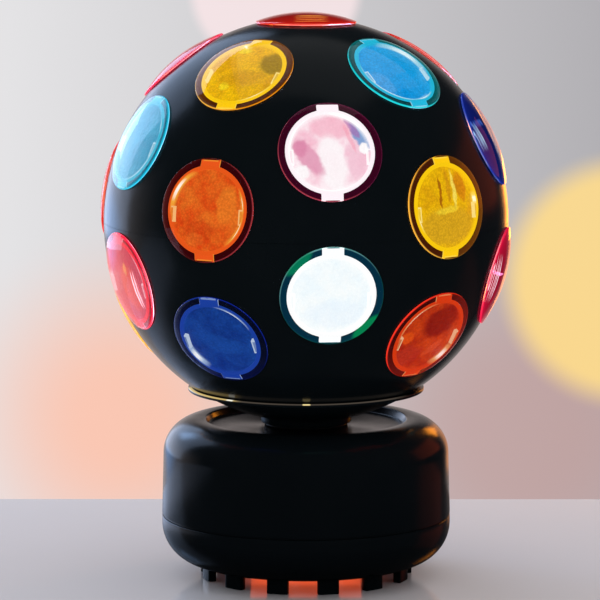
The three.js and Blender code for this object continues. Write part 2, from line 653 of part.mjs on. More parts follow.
function motor() {
  const bossTop = DECK_TOP_Z + MOTOR_BOSS_RISE;
  const bore = SHAFT_R + SEAT_GAP;
  const boreFloor = MOTOR_TOP_Z - SHAFT_DEPTH;
  const can = lathe([
    [0, MOTOR_Z], [MOTOR_R, MOTOR_Z], [MOTOR_R, MOTOR_TOP_Z], [MOTOR_BOSS_R, MOTOR_TOP_Z],
    [MOTOR_BOSS_R, bossTop], [bore, bossTop], [bore, boreFloor], [0, boreFloor],
  ], ROUND_SEGMENTS);
  const reach = EAR_SPACING / 2 + EAR_WIDTH / 2;
  const inner = MOTOR_R - EAR_WIDTH / 2;
  const ears = [-1, 1].map((side) =>
    box(EAR_WIDTH, reach - inner, 2 * EAR_T, 0, (side * (reach + inner)) / 2, MOTOR_TOP_Z));
  const holes = [-1, 1].map((side) =>
    cylinder(SCREW_HOLE_R, MOTOR_Z, DECK_Z, SCREW_SEGMENTS).translate(0, (side * EAR_SPACING) / 2, 0));
  return carved(can, ears, holes);
}

function lampPost() {
  const high = HOLDER_Z + HOLDER_POST_DEPTH - SEAT_GAP;
  return latheRing([
    [POST_BORE_R, POST_LOW_Z], [POST_R, POST_LOW_Z], [POST_R, high], [POST_BORE_R, high],
  ], TUBE_SEGMENTS);
}

function hexNut() {
  const blank = cylinder(NUT_R, 0, NUT_T, 6);
  return carved(blank, [], [cylinder(POST_R + SEAT_GAP, -CUT_OVERRUN, NUT_T + CUT_OVERRUN, TUBE_SEGMENTS)]);
}

function lampholder() {
  const postHole = POST_R + SEAT_GAP;
  const socketFloor = HOLDER_TOP_Z - CAP_DEPTH - SEAT_GAP;
  const postTop = HOLDER_Z + HOLDER_POST_DEPTH;
  return latheRing([
    [postHole, HOLDER_Z], [HOLDER_R, HOLDER_Z], [HOLDER_R, HOLDER_TOP_Z], [SOCKET_R, HOLDER_TOP_Z],
    [SOCKET_R, socketFloor], [HOLDER_WIRE_R, socketFloor], [HOLDER_WIRE_R, postTop], [postHole, postTop],
  ], ROUND_SEGMENTS);
}

function bulbCap() {
  const low = HOLDER_TOP_Z - CAP_DEPTH;
  const collar = HOLDER_TOP_Z + SEAT_GAP;
  return lathe([
    [0, low], [CAP_R, low], [CAP_R, collar], [CAP_COLLAR_R, collar],
    [CAP_COLLAR_R, collar + CAP_COLLAR_T], [0, collar + CAP_COLLAR_T],
  ], ROUND_SEGMENTS);
}

function bulbGlobe() {
  const low = HOLDER_TOP_Z + CAP_COLLAR_T + 2 * SEAT_GAP;
  const innerR = GLOBE_R - GLOBE_WALL;
  const innerNeck = GLOBE_NECK_R - GLOBE_WALL;
  const from = -Math.acos(GLOBE_NECK_R / GLOBE_R);
  const innerFrom = -Math.acos(innerNeck / innerR);
  const outer = arc(GLOBE_R, 0, BALL_CENTRE_Z, from, Math.PI / 2, GLOBE_STEPS);
  const inner = arc(innerR, 0, BALL_CENTRE_Z, Math.PI / 2, innerFrom, GLOBE_STEPS);
  outer[outer.length - 1][0] = 0;
  inner[0][0] = 0;
  return lathe([...inner, [innerNeck, low], [GLOBE_NECK_R, low], ...outer], ROUND_SEGMENTS);
}

// The switch's flat lies this far out along Y in the switch's own frame
const PAD_Y = sideRadius(SWITCH_Z) - PAD_DEPTH;
const GROMMET_PAD_Y = sideRadius(GROMMET_Z) - GROMMET_PAD_DEPTH;

function switchCutters() {
  const play = 2 * SEAT_GAP;
  const pad = box(BEZEL_W + play, 2 * CUT_OVERRUN, BEZEL_H + play, 0, PAD_Y + CUT_OVERRUN, SWITCH_Z);
  const depth = BASE_WALL + 2 * CUT_OVERRUN;
  const hole = box(CASE_W + play, depth, CASE_H + play, 0, PAD_Y - depth / 2 + CUT_OVERRUN, SWITCH_Z);
  return [pad, hole].map((cutter) => cutter.rotateZ(degrees(SWITCH_TURN)));
}

// A ring or disc about Y, from a lathe about Z
function alongY(geometry) {
  return geometry.rotateX(-Math.PI / 2);
}

function grommetCutters() {
  const out = GROMMET_PAD_Y + CUT_OVERRUN;
  const pad = cylinder(GROMMET_FLANGE_R + SEAT_GAP, GROMMET_PAD_Y, out, ROUND_SEGMENTS);
  const hole = cylinder(GROMMET_R + SEAT_GAP, HOUSING_IN_R - CUT_OVERRUN, out, TUBE_SEGMENTS);
  return [pad, hole].map((cutter) => alongY(cutter).translate(0, 0, GROMMET_Z));
}

function grommet() {
  const outer = GROMMET_PAD_Y + SEAT_GAP;
  const wallR = sideRadius(GROMMET_Z + GROMMET_INNER_R) - BASE_WALL;
  const inner = wallR - GROMMET_INNER_R * Math.tan(Math.PI / BASE_SEGMENTS) - SEAT_GAP;
  return alongY(latheRing([
    [GROMMET_BORE_R, inner - GROMMET_INNER_T], [GROMMET_INNER_R, inner - GROMMET_INNER_T],
    [GROMMET_INNER_R, inner], [GROMMET_R, inner], [GROMMET_R, outer], [GROMMET_FLANGE_R, outer],
    [GROMMET_FLANGE_R, outer + GROMMET_FLANGE_T], [GROMMET_BORE_R, outer + GROMMET_FLANGE_T],
  ], TUBE_SEGMENTS));
}

function switchCase() {
  const front = SEAT_GAP + BEZEL_T;
  const bezel = box(BEZEL_W, BEZEL_T, BEZEL_H, 0, SEAT_GAP + BEZEL_T / 2, 0);
  const depth = CASE_DEPTH + front;
  const body = box(CASE_W, depth, CASE_H, 0, front - depth / 2, 0);
  const wellW = PADDLE_W + 2 * PADDLE_SIDE_PLAY;
  const wellH = PADDLE_H + 2 * PADDLE_PLAY;
  const well = box(wellW, SWITCH_WELL + CUT_OVERRUN, wellH, 0, front + (CUT_OVERRUN - SWITCH_WELL) / 2, 0);
  const pinHole = cylinder(PADDLE_PIN_R + SEAT_GAP, -CASE_W, CASE_W, SCREW_SEGMENTS)
    .rotateY(Math.PI / 2).translate(0, -PADDLE_PIVOT_DEPTH, 0);
  return carved(bezel, [body], [well, pinHole]);
}

// The rocker about its own pivot, level: a shallow V on top and a keel below
function paddle() {
  const half = PADDLE_H / 2;
  const outline = new THREE.Shape([
    [-half, PADDLE_END_RISE + PADDLE_PIVOT_DEPTH], [-half, 0], [-PADDLE_KEEL, -PADDLE_KEEL],
    [PADDLE_KEEL, -PADDLE_KEEL], [half, 0], [half, PADDLE_END_RISE + PADDLE_PIVOT_DEPTH],
    [0, PADDLE_MID_RISE + PADDLE_PIVOT_DEPTH],
  ].map(([z, y]) => new THREE.Vector2(z, y)));
  const block = new THREE.ExtrudeGeometry(outline, { depth: PADDLE_W, bevelEnabled: false, steps: 1 });
  block.translate(0, 0, -PADDLE_W / 2);
  block.applyMatrix4(new THREE.Matrix4().set(0, 0, 1, 0, 0, 1, 0, 0, -1, 0, 0, 0, 0, 0, 0, 1));
  const pinReach = CASE_W / 2 - SEAT_GAP;
  const pin = cylinder(PADDLE_PIN_R, -pinReach, pinReach, SCREW_SEGMENTS).rotateY(Math.PI / 2);
  return carved(block, [pin], []);
}

// A lead along a curve through points
function lead(points, steps) {
  const path = new THREE.CatmullRomCurve3(points.map((p) => new THREE.Vector3(...p)));
  const section = new THREE.Shape(Array.from({ length: LEAD_SIDES }, (_, i) => {
    const angle = (2 * Math.PI * i) / LEAD_SIDES;
    return new THREE.Vector2(LEAD_R * Math.cos(angle), LEAD_R * Math.sin(angle));
  }));
  return new THREE.ExtrudeGeometry(section, { steps, extrudePath: path, bevelEnabled: false });
}

function ball() {
  const group = new THREE.Group();
  group.add(piece('ball_upper_shell', upperShell(), BLACK));
  group.add(piece('ball_lower_shell', lowerShell(), BLACK));
  const lens = lensGeometry();
  for (const place of lensPlaces()) {
    const mesh = piece(place.name, lens, LENS_COLOURS[place.colour]);
    mesh.applyMatrix4(place.matrix);
    group.add(mesh);
  }
  return at(group, 0, 0, BALL_CENTRE_Z);
}

function turntable() {
  const group = new THREE.Group();
  group.add(piece('turntable_dish', dish(), BLACK));
  group.add(at(piece('drive_gear', gear(GEAR_TEETH, 0, HUB_SEAT_R), NYLON), 0, 0, GEAR_Z));
  const high = RETAINER_Z + RETAINER_T;
  const ring = latheRing([
    [HUB_SEAT_R, RETAINER_Z], [RETAINER_R, RETAINER_Z], [RETAINER_R, high], [HUB_SEAT_R, high],
  ], ROUND_SEGMENTS);
  group.add(piece('gear_retainer', ring, STEEL));
  return group;
}

function drive() {
  const group = new THREE.Group();
  const meshAngle = Math.PI + Math.PI / PINION_TEETH;
  const pinion = gear(PINION_TEETH, meshAngle, SHAFT_R + SEAT_GAP);
  group.add(at(piece('drive_pinion', pinion, NYLON), 0, 0, GEAR_Z));
  const shaft = cylinder(SHAFT_R, MOTOR_TOP_Z - SHAFT_DEPTH + SEAT_GAP, GEAR_TOP_Z, TUBE_SEGMENTS);
  group.add(piece('motor_shaft', shaft, STEEL));
  group.add(piece('drive_motor', motor(), STEEL));
  return at(group, MOTOR_X, 0, 0);
}

function screws() {
  const group = new THREE.Group();
  [-1, 1].forEach((side, i) => {
    const mesh = piece(`motor_screw_${i + 1}`, screw(MOTOR_SCREW_LENGTH), STEEL);
    group.add(at(mesh, MOTOR_X, (side * EAR_SPACING) / 2, MOTOR_TOP_Z - EAR_T - SEAT_GAP));
  });
  DECK_SCREW_ANGLES.forEach((angle, i) => {
    const [x, y] = onCircle(DECK_SCREW_PITCH_R, angle);
    group.add(at(piece(`deck_screw_${i + 1}`, screw(DECK_SCREW_LENGTH), STEEL), x, y, DECK_Z - SEAT_GAP));
  });
  CASE_SCREW_ANGLES.forEach((angle, i) => {
    const [x, y] = onCircle(CASE_COLUMN_PITCH_R, angle);
    const mesh = piece(`case_screw_${i + 1}`, screw(CASE_SCREW_LENGTH), STEEL);
    group.add(at(mesh, x, y, CASE_SCREW_Z - SEAT_GAP));
  });
  return group;
}

function lamp() {
  const group = new THREE.Group();
  group.add(piece('lamp_post', lampPost(), BRASS));
  group.add(at(piece('post_nut_upper', hexNut(), BRASS), 0, 0, DECK_TOP_Z + SEAT_GAP));
  group.add(at(piece('post_nut_lower', hexNut(), BRASS), 0, 0, LOWER_NUT_Z));
  group.add(piece('lampholder', lampholder(), WHITE));
  group.add(piece('bulb_cap', bulbCap(), BRASS));
  group.add(piece('bulb_globe', bulbGlobe(), GLASS));
  return group;
}

function rockerSwitch() {
  const group = new THREE.Group();
  group.add(piece('switch_case', switchCase(), GREY));
  const rocker = piece('rocker_paddle', paddle(), BLACK);
  rocker.rotation.x = degrees(PADDLE_TIP);
  group.add(at(rocker, 0, -PADDLE_PIVOT_DEPTH, 0));
  const turned = new THREE.Group();
  turned.add(at(group, 0, PAD_Y, SWITCH_Z));
  turned.rotation.z = degrees(SWITCH_TURN);
  return turned;
}

function wiring() {
  const group = new THREE.Group();
  const [width, depth, height] = BLOCK_SIZE;
  const blockZ = DECK_Z - SEAT_GAP - height / 2;
  const block = piece('terminal_block', new THREE.BoxGeometry(width, depth, height), WHITE);
  group.add(at(block, BLOCK_X, BLOCK_Y, blockZ));

  const right = BLOCK_X + width / 2 + SEAT_GAP;
  const lampY = BLOCK_Y + depth / 4;
  const wireEnd = HOLDER_TOP_Z - CAP_DEPTH - 2 * SEAT_GAP;
  const lampLead = lead([
    [right, lampY, blockZ], [right + LEAD_RUN, lampY, blockZ], [0, lampY / 2, POST_LOW_Z - LEAD_SAG],
    [0, 0, POST_LOW_Z], [0, 0, DECK_TOP_Z], [0, 0, HOLDER_Z], [0, 0, wireEnd],
  ], LAMP_LEAD_STEPS);
  group.add(piece('lamp_lead', lampLead, WHITE));

  const motorSide = MOTOR_X - MOTOR_R - SEAT_GAP;
  const motorY = BLOCK_Y - depth / 4;
  const motorLead = lead([
    [right, motorY, blockZ], [right + LEAD_RUN, motorY, blockZ],
    [motorSide - LEAD_RUN, 0, blockZ - LEAD_SAG], [motorSide, 0, blockZ - LEAD_SAG],
  ], LEAD_STEPS);
  group.add(piece('motor_lead', motorLead, WHITE));

  const switchBack = PAD_Y - CASE_DEPTH - SEAT_GAP;
  const [backX, backY] = onCircle(switchBack, 90 + SWITCH_TURN);
  const [runX, runY] = onCircle(switchBack - LEAD_RUN, 90 + SWITCH_TURN);
  const blockBack = BLOCK_Y + depth / 2 + SEAT_GAP;
  const switchLead = lead([
    [BLOCK_X, blockBack, blockZ], [BLOCK_X, blockBack + LEAD_RUN, blockZ],
    [runX, runY, SWITCH_Z], [backX, backY, SWITCH_Z],
  ], LEAD_STEPS);
  group.add(piece('switch_lead', switchLead, WHITE));
  return group;
}

const discoBallLamp = new THREE.Group();
discoBallLamp.add(piece('base_upper_housing', upperHousing(), BASE_BLACK));
discoBallLamp.add(piece('base_lower_housing', lowerHousing(), BASE_BLACK));
discoBallLamp.add(piece('hub_bush', hubBush(), NYLON));
discoBallLamp.add(piece('chassis_deck', chassisDeck(), GREY));
discoBallLamp.add(at(piece('cord_grommet', grommet(), BASE_BLACK), 0, 0, GROMMET_Z));
discoBallLamp.add(ball(), turntable(), drive(), screws(), lamp(), rockerSwitch(), wiring());

export default discoBallLamp;
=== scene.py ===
# %% [markdown]
# # A disco ball lamp
# A black ball with clear coloured lenses sits on a dish, a motor in the round base turns the
# dish, and a bulb lights the lenses from inside. The CAD model is loaded first: its nodes
# give the places and sizes, and the pieces made here dress it.

import math

import bmesh
import bpy
from mathutils import Matrix, Vector


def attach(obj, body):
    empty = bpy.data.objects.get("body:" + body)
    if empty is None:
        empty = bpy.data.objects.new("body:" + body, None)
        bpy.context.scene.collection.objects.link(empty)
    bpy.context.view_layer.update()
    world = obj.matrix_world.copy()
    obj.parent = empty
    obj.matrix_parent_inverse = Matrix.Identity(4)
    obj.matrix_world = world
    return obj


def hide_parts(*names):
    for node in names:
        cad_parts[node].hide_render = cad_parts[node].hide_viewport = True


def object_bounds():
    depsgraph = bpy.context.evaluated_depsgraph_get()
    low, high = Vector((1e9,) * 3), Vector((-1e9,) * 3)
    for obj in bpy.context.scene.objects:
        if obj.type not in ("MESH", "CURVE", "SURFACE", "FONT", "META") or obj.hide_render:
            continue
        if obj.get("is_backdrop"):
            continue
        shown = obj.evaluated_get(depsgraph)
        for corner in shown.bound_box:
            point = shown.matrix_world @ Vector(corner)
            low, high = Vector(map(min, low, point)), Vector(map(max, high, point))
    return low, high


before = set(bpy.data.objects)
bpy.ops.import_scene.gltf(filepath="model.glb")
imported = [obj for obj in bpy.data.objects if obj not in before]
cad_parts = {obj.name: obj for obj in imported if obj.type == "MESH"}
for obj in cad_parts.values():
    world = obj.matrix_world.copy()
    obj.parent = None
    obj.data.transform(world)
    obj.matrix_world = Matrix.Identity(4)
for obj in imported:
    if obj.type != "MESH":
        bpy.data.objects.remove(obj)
cad_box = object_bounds()
scene = bpy.context.scene
scene.view_settings.view_transform = "Standard"
MM = 0.001
print("CAD box:", [round(c, 4) for corner in cad_box for c in corner])

# %% [markdown]
# ## The camera
# The photograph looks slightly down at the front of the ball from about 1.8 m away through a
# long lens, so the ball looks round and the base almost flat. The camera is placed at that
# height and aimed a little below the middle of the ball.

# %% Camera
def link_new(name, data):
    """A new object in the scene."""
    made = bpy.data.objects.new(name, data)
    scene.collection.objects.link(made)
    return made


def point(thing, place, target):
    """Puts a camera or a lamp in its place and points it at a target."""
    thing.location = place
    thing.rotation_euler = (Vector(target) - Vector(place)).to_track_quat("-Z", "Y").to_euler()


camera = link_new("camera", bpy.data.cameras.new("camera"))
point(camera, (0, -1.823, 0.3857), (-0.003, 0, 0.138))
camera.data.sensor_width = 36
camera.data.lens = 222.6
scene.camera = camera
print("camera looks from", [round(c, 3) for c in camera.location])

# %% [markdown]
# ## Colours and nodes
# Colours are written as the hex values that a screen shows, and Cycles works in linear
# light, so one function turns one into the other. Another sets or links a node's inputs,
# where a node given as a value feeds in from its first output in use, and a third adds a
# node. Listed inputs stand in the node's own order: a noise has place, scale, detail and
# roughness, and a MapRange has value, from, to and the two ends of its result.

# %% Helpers for materials
def linear(hex_colour, level=1):
    """The linear colour of an sRGB hex value such as '#1a1b1e', brighter or dimmer by a level."""
    channels = [int(hex_colour[i:i + 2], 16) / 255 for i in (1, 3, 5)]
    curve = [c / 12.92 if c <= 0.04045 else ((c + 0.055) / 1.055) ** 2.4 for c in channels]
    return (*[level * c for c in curve], 1)


def fill(node, inputs):
    """Sets or links a node's inputs, given by name or as a list of those in use, in their order."""
    if isinstance(inputs, dict):
        pairs = [(node.inputs[name], value) for name, value in inputs.items()]
    else:
        pairs = zip([socket for socket in node.inputs if socket.enabled], inputs)
    for socket, value in pairs:
        if isinstance(value, bpy.types.Node):
            value = next(output for output in value.outputs if output.enabled)
        if isinstance(value, bpy.types.NodeSocket):
            node.id_data.links.new(value, socket)
        else:
            socket.default_value = value


def add(tree, kind, inputs=(), **settings):
    """A new node with its settings and inputs; a Mix node is set to mix colours."""
    node = tree.nodes.new("ShaderNode" + kind)
    if kind == "Mix":
        node.data_type = "RGBA"
    for name, value in settings.items():
        setattr(node, name, value)
    fill(node, inputs)
    return node


def new_material(name):
    """A material, its node tree and its Principled shader."""
    material = bpy.data.materials.new(name)
    material.use_nodes = True
    return material, material.node_tree, material.node_tree.nodes["Principled BSDF"]


print("black as the screen shows it:", [round(c, 4) for c in linear("#101114")])

# %% [markdown]
# ## Moulded black plastic
# The ball and its dish are polystyrene from a polished mould, with a faint ripple left by the
# cooling plastic. The base is ABS from a mould with a fine spark-eroded grain. Real grain is
# about 0.1 mm and would vanish in the picture, so it is drawn at 0.5 mm. Bump nodes carry
# both, because they must not change the outline. Such plastics have an index near 1.55 and
# gloss polystyrene is smoother than here: index 1.3 and roughness 0.2 are matched to how
# dimly and how softly the lamp mirrors the room in the photograph.

# %% Black plastic materials
WEAR_MM = 28


def moulded_plastic(name, colour, roughness, spread, grain, ripple, ior=1.3):
    """Grain and ripple are each a size across and a height, in millimetres."""
    material, tree, shader = new_material(name)
    place = add(tree, "TexCoord").outputs["Object"]
    fine = add(tree, "TexNoise", [place, 1 / (grain[0] * MM), 2, 0.6])
    broad = add(tree, "TexNoise", [place, 1 / (ripple[0] * MM), 1, 0.4])
    wear = add(tree, "TexNoise", [place, 1 / (WEAR_MM * MM), 5, 0.65])
    low = add(tree, "Bump", {"Height": broad, "Distance": ripple[1] * MM, "Strength": 1})
    fill(shader, {
        "Base Color": add(tree, "Mix", [wear, linear(colour), linear(colour, 1.5)]),
        "Roughness": add(tree, "MapRange", [wear, 0.3, 0.7, roughness - spread, roughness + spread]),
        "Normal": add(tree, "Bump", {
            "Height": fine, "Distance": grain[1] * MM, "Strength": 1, "Normal": low}),
        "IOR": ior})
    return material


GLOSS_BLACK = ("#090f12", 0.2, 0.04, (0.5, 0.002), (9, 0.05))
BALL_BLACK = moulded_plastic("moulded gloss polystyrene, black", *GLOSS_BLACK)
BASE_BLACK = moulded_plastic("moulded satin ABS, black", "#070c0f", 0.2, 0.05, (0.5, 0.003), (14, 0.04))
RUBBER_BLACK = moulded_plastic("moulded rubber, black", "#101011", 0.55, 0.06, (0.6, 0.01), (6, 0.03))
print("black plastics:", BALL_BLACK.name, "/", BASE_BLACK.name, "/", RUBBER_BLACK.name)

# %% [markdown]
# ## Tools for shapes
# Nearly every piece of the lamp is round, so most start as a profile in the plane y = 0 that
# is spun about the Z axis. A profile is drawn with extrude_vert_indiv for straight runs and
# with spin for arcs, its corners are rounded with a vertex bevel, and a full spin with
# use_merge closes the ring. The rest are cylinders and blocks with bevelled edges.

# %% Helpers for shapes
def shift(x, y, z):
    """A shift in millimetres."""
    return Matrix.Translation((x * MM, y * MM, z * MM))


def turn(axis, degrees):
    """A turn about an axis through the origin."""
    return Matrix.Rotation(math.radians(degrees), 4, axis)


def bevel(bm, geom, radius, segments, affect="EDGES"):
    bmesh.ops.bevel(
        bm, geom=geom, offset=radius * MM, offset_type="OFFSET", segments=segments,
        profile=0.5, affect=affect, material=-1)


def spin_profile(moves, rounds=(), steps=192, closed=True):
    """A turned piece from its profile, in millimetres. A move (r, z) is a straight run to that
    place, and (r, z, degrees, steps) an arc about it, where a positive angle goes from up to
    out. An entry of rounds gives moves by number, whose ends are rounded, radius and segments."""
    bm = bmesh.new()
    corners = [bm.verts.new((moves[0][0] * MM, 0, moves[0][1] * MM))]
    for r, z, *arc in moves[1:]:
        place = (r * MM, 0, z * MM)
        if arc:
            swept = bmesh.ops.spin(
                bm, geom=corners[-1:], cent=place, axis=(0, 1, 0), angle=math.radians(arc[0]), steps=arc[1])
            corners.append(next(v for v in swept["geom_last"] if isinstance(v, bmesh.types.BMVert)))
        else:
            corners += bmesh.ops.extrude_vert_indiv(bm, verts=corners[-1:])["verts"]
            corners[-1].co = place
    if closed:
        bm.edges.new((corners[-1], corners[0]))
    for numbers, radius, segments in rounds:
        bevel(bm, [corners[i] for i in numbers], radius, segments, "VERTICES")
    bmesh.ops.spin(
        bm, geom=bm.verts[:] + bm.edges[:], cent=(0, 0, 0), axis=(0, 0, 1), angle=math.tau,
        steps=steps, use_merge=True)
    bmesh.ops.remove_doubles(bm, verts=bm.verts, dist=1e-6)
    bmesh.ops.dissolve_degenerate(bm, edges=bm.edges, dist=1e-6)
    bmesh.ops.recalc_face_normals(bm, faces=bm.faces)
    return bm


def rods(radius, depth, places, segments):
    """Closed cylinders, the middle of each put in place by a matrix."""
    bm = bmesh.new()
    for place in places:
        bmesh.ops.create_cone(
            bm, cap_ends=True, segments=segments, radius1=radius * MM, radius2=radius * MM,
            depth=depth * MM, matrix=place)
    return bm


def moved(bm, place):
    """The same bmesh, put in place by a matrix."""
    bmesh.ops.transform(bm, matrix=place, verts=bm.verts)
    return bm


def block(size, place, radius):
    """A block with rounded edges, put in place by a matrix."""
    bm = bmesh.new()
    bmesh.ops.create_cube(bm, size=1, matrix=Matrix.Diagonal((*[s * MM for s in size], 1)))
    bevel(bm, bm.edges[:], radius, 2)
    return moved(bm, place)


def merge_into(bm, other):
    """Adds another bmesh to this one."""
    mesh = bpy.data.meshes.new("part")
    other.to_mesh(mesh)
    other.free()
    bm.from_mesh(mesh)
    bpy.data.meshes.remove(mesh)


def smooth(mesh, sharp):
    """Smooth shading that stops at edges sharper than so many degrees."""
    mesh.shade_smooth()
    mesh.set_sharp_from_angle(angle=math.radians(sharp))


def new_object(name, bm, materials):
    mesh = bpy.data.meshes.new(name)
    bm.to_mesh(mesh)
    bm.free()
    for material in materials:
        mesh.materials.append(material)
    return link_new(name, mesh)


def finish_piece(name, bm, materials, body, nodes, sharp=35):
    """The finished mesh as an object that rides on a body in place of some CAD nodes."""
    piece = new_object(name, bm, materials)
    smooth(piece.data, sharp)
    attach(piece, body)
    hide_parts(*nodes)
    print(name, "has", len(piece.data.polygons), "faces")
    return piece


def cut(piece, cutter_bm):
    """Takes the cutter's shape away from the piece, once and for all."""
    cutter = new_object("cutter", cutter_bm, ())
    modifier = piece.modifiers.new("cut", "BOOLEAN")
    modifier.object = cutter
    modifier.solver = "MANIFOLD"
    depsgraph = bpy.context.evaluated_depsgraph_get()
    result = bpy.data.meshes.new_from_object(piece.evaluated_get(depsgraph))
    old, name = piece.data, piece.data.name
    piece.modifiers.clear()
    piece.data = result
    bpy.data.meshes.remove(old)
    result.name = name
    cutter_mesh = cutter.data
    bpy.data.objects.remove(cutter)
    bpy.data.meshes.remove(cutter_mesh)


print("shape tools are ready")

# %% [markdown]
# ## Where the lenses sit
# Five rows of five lenses go round the ball and one sits on its pole. Each row is turned by
# half a step against its neighbours, like a football's patches. A lens is made lying flat,
# with Z out of the ball and Y up its meridian, and one matrix puts it in place.

# %% Lens places
BALL_R = 100
BALL_CENTRE = Vector((0, 0, 177.996)) * MM
SEAM_GAP = 0.05
PATTERN_TURN = 7.3
LENS_ROWS = [
    # row, latitude, turn, colours
    ("crown", 51, 36, ["sky", "red", "mint", "crimson", "yellow"]),
    ("upper", 25.4, 0, ["pink", "blue", "orange", "crimson", "cyan"]),
    ("middle", 8.3, 36, ["yellow", "cyan", "blue", "vermilion", "orange"]),
    ("lower", -15, 0, ["mint", "crimson", "yellow", "sky", "rose"]),
    ("bottom", -29.8, 36, ["vermilion", "mint", "pink", "yellow", "blue"]),
]


def lens_place(latitude, azimuth):
    return Matrix.Translation(BALL_CENTRE) @ turn("Z", azimuth) @ turn("X", 90 - latitude)


lens_places = {"lens_pole": lens_place(90, PATTERN_TURN)}
lens_colours = {"lens_pole": "red"}
for row, latitude, offset, colours in LENS_ROWS:
    for k, colour in enumerate(colours):
        lens_places[f"lens_{row}_{k + 1}"] = lens_place(latitude, PATTERN_TURN + offset + 72 * k)
        lens_colours[f"lens_{row}_{k + 1}"] = colour
print(len(lens_places), "lenses")

# %% [markdown]
# ## The ball's two shells
# The ball is two injection-moulded half shells, 2 mm thick, that meet at the equator. The
# upper one is a plain hemisphere. The lower one has a lip that centres the seam, and it ends
# in an open mouth that the bulb passes through. Each profile runs as a closed ring clear of
# the axis, because the hole for the pole lens takes the top away in any case.

# %% Upper and lower shell
SHELL_WALL = 2
SHELL_IN_R = BALL_R - SHELL_WALL
POLE_START = 12
MOUTH_DEG = 55.788
MOUTH_DROP = BALL_R * math.sin(math.radians(MOUTH_DEG))
LIP_HEIGHT = 3
LIP_FOOT = -2
LIP_OUT_R = SHELL_IN_R - 0.4
LIP_IN_R = LIP_OUT_R - 1.6


def shell_angle(radius, r):
    """Degrees from the pole to the place on a sphere that lies r from the axis."""
    return math.degrees(math.asin(r / radius))


def on_sphere(radius, r):
    """How high over a sphere's middle its surface lies at r from the axis."""
    return math.sqrt(radius ** 2 - r ** 2)


def upper_shell():
    """Up the outside from the seam, over to the inside near the pole, and down again."""
    sweep = shell_angle(BALL_R, POLE_START) - 90
    return spin_profile([
        (BALL_R, SEAM_GAP), (0, 0, sweep, 48), (POLE_START - SEAM_GAP, on_sphere(SHELL_IN_R, POLE_START)),
        (0, 0, 0.1 - sweep, 48)], [([0], 0.2, 3)])


def lower_shell():
    """Down the outside to the mouth, up the inside and round the lip."""
    mouth_in = shell_angle(SHELL_IN_R, MOUTH_DROP)
    return spin_profile([
        (BALL_R, -SEAM_GAP), (0, 0, MOUTH_DEG, 32), (on_sphere(SHELL_IN_R, MOUTH_DROP), -MOUTH_DROP),
        (0, 0, 3 - mouth_in, 32), (LIP_IN_R, LIP_FOOT), (LIP_IN_R, LIP_HEIGHT), (LIP_OUT_R, LIP_HEIGHT),
        (LIP_OUT_R, -SEAM_GAP)], [([0], 0.2, 3), ([1], 0.25, 3)])


shells = []
for half, shell in (("upper", upper_shell()), ("lower", lower_shell())):
    moved(shell, Matrix.Translation(BALL_CENTRE))
    shells.append(finish_piece(
        f"{half}_half_shell", shell, [BALL_BLACK], "ball", [f"ball_{half}_shell"]))

# %% [markdown]
# ## Holes for the lenses
# Each lens drops into a round hole with a notch above and below, where its two tabs sit. The
# holes are cut with Boolean modifiers: first all the round cutters in one go, then all the
# notch cutters. Cutting leaves long thin faces round each hole, which would dent the shine,
# so the outer faces are given the sphere's own normals afterwards.

# %% Cut the holes
HOLE_R = 21.2
NOTCH_W = 10.4
NOTCH_REACH = 23.5
CUTTER_Z = 97
CUTTER_DEPTH = 12
NEAR_SPHERE = 0.02
NEAR_FACE = 0.15


def notch_cutters(places):
    bm = bmesh.new()
    size = Matrix.Diagonal((NOTCH_W * MM, 2 * NOTCH_REACH * MM, CUTTER_DEPTH * MM, 1))
    for place in places:
        bmesh.ops.create_cube(bm, size=1, matrix=place @ size)
    return bm


def off_sphere(place):
    return abs((place - BALL_CENTRE).length / MM - BALL_R)


def sphere_normals(mesh):
    """Gives the faces on the ball's outside the normals of a true sphere."""
    normals = [Vector()] * len(mesh.loops)
    for face in mesh.polygons:
        places = [mesh.vertices[v].co for v in face.vertices]
        if off_sphere(face.center) < NEAR_FACE or all(off_sphere(place) < NEAR_SPHERE for place in places):
            for loop, place in zip(face.loop_indices, places):
                normals[loop] = (place - BALL_CENTRE).normalized()
    mesh.normals_split_custom_set(normals)


places = [place @ shift(0, 0, CUTTER_Z) for place in lens_places.values()]
for piece in shells:
    cut(piece, rods(HOLE_R, CUTTER_DEPTH, places, 72))
    cut(piece, notch_cutters(places))
    smooth(piece.data, 30)
    sphere_normals(piece.data)
    print(piece.name, "after cutting:", len(piece.data.polygons), "faces")

# %% [markdown]
# ## Lens plastics
# The lenses are clear acrylic, tinted in the mass. Two things are seen in each: the domed
# front, which is dark where it laps over the black shell and catches light along its edge,
# and the pebbled back, which the bulb lights. The light also runs along inside the plastic,
# so a dome seen at a slant glows in its own colour, which Layer Weight brings. The patterns
# follow the piece's UV map, which holds the place across the lens, 60 mm to the unit.

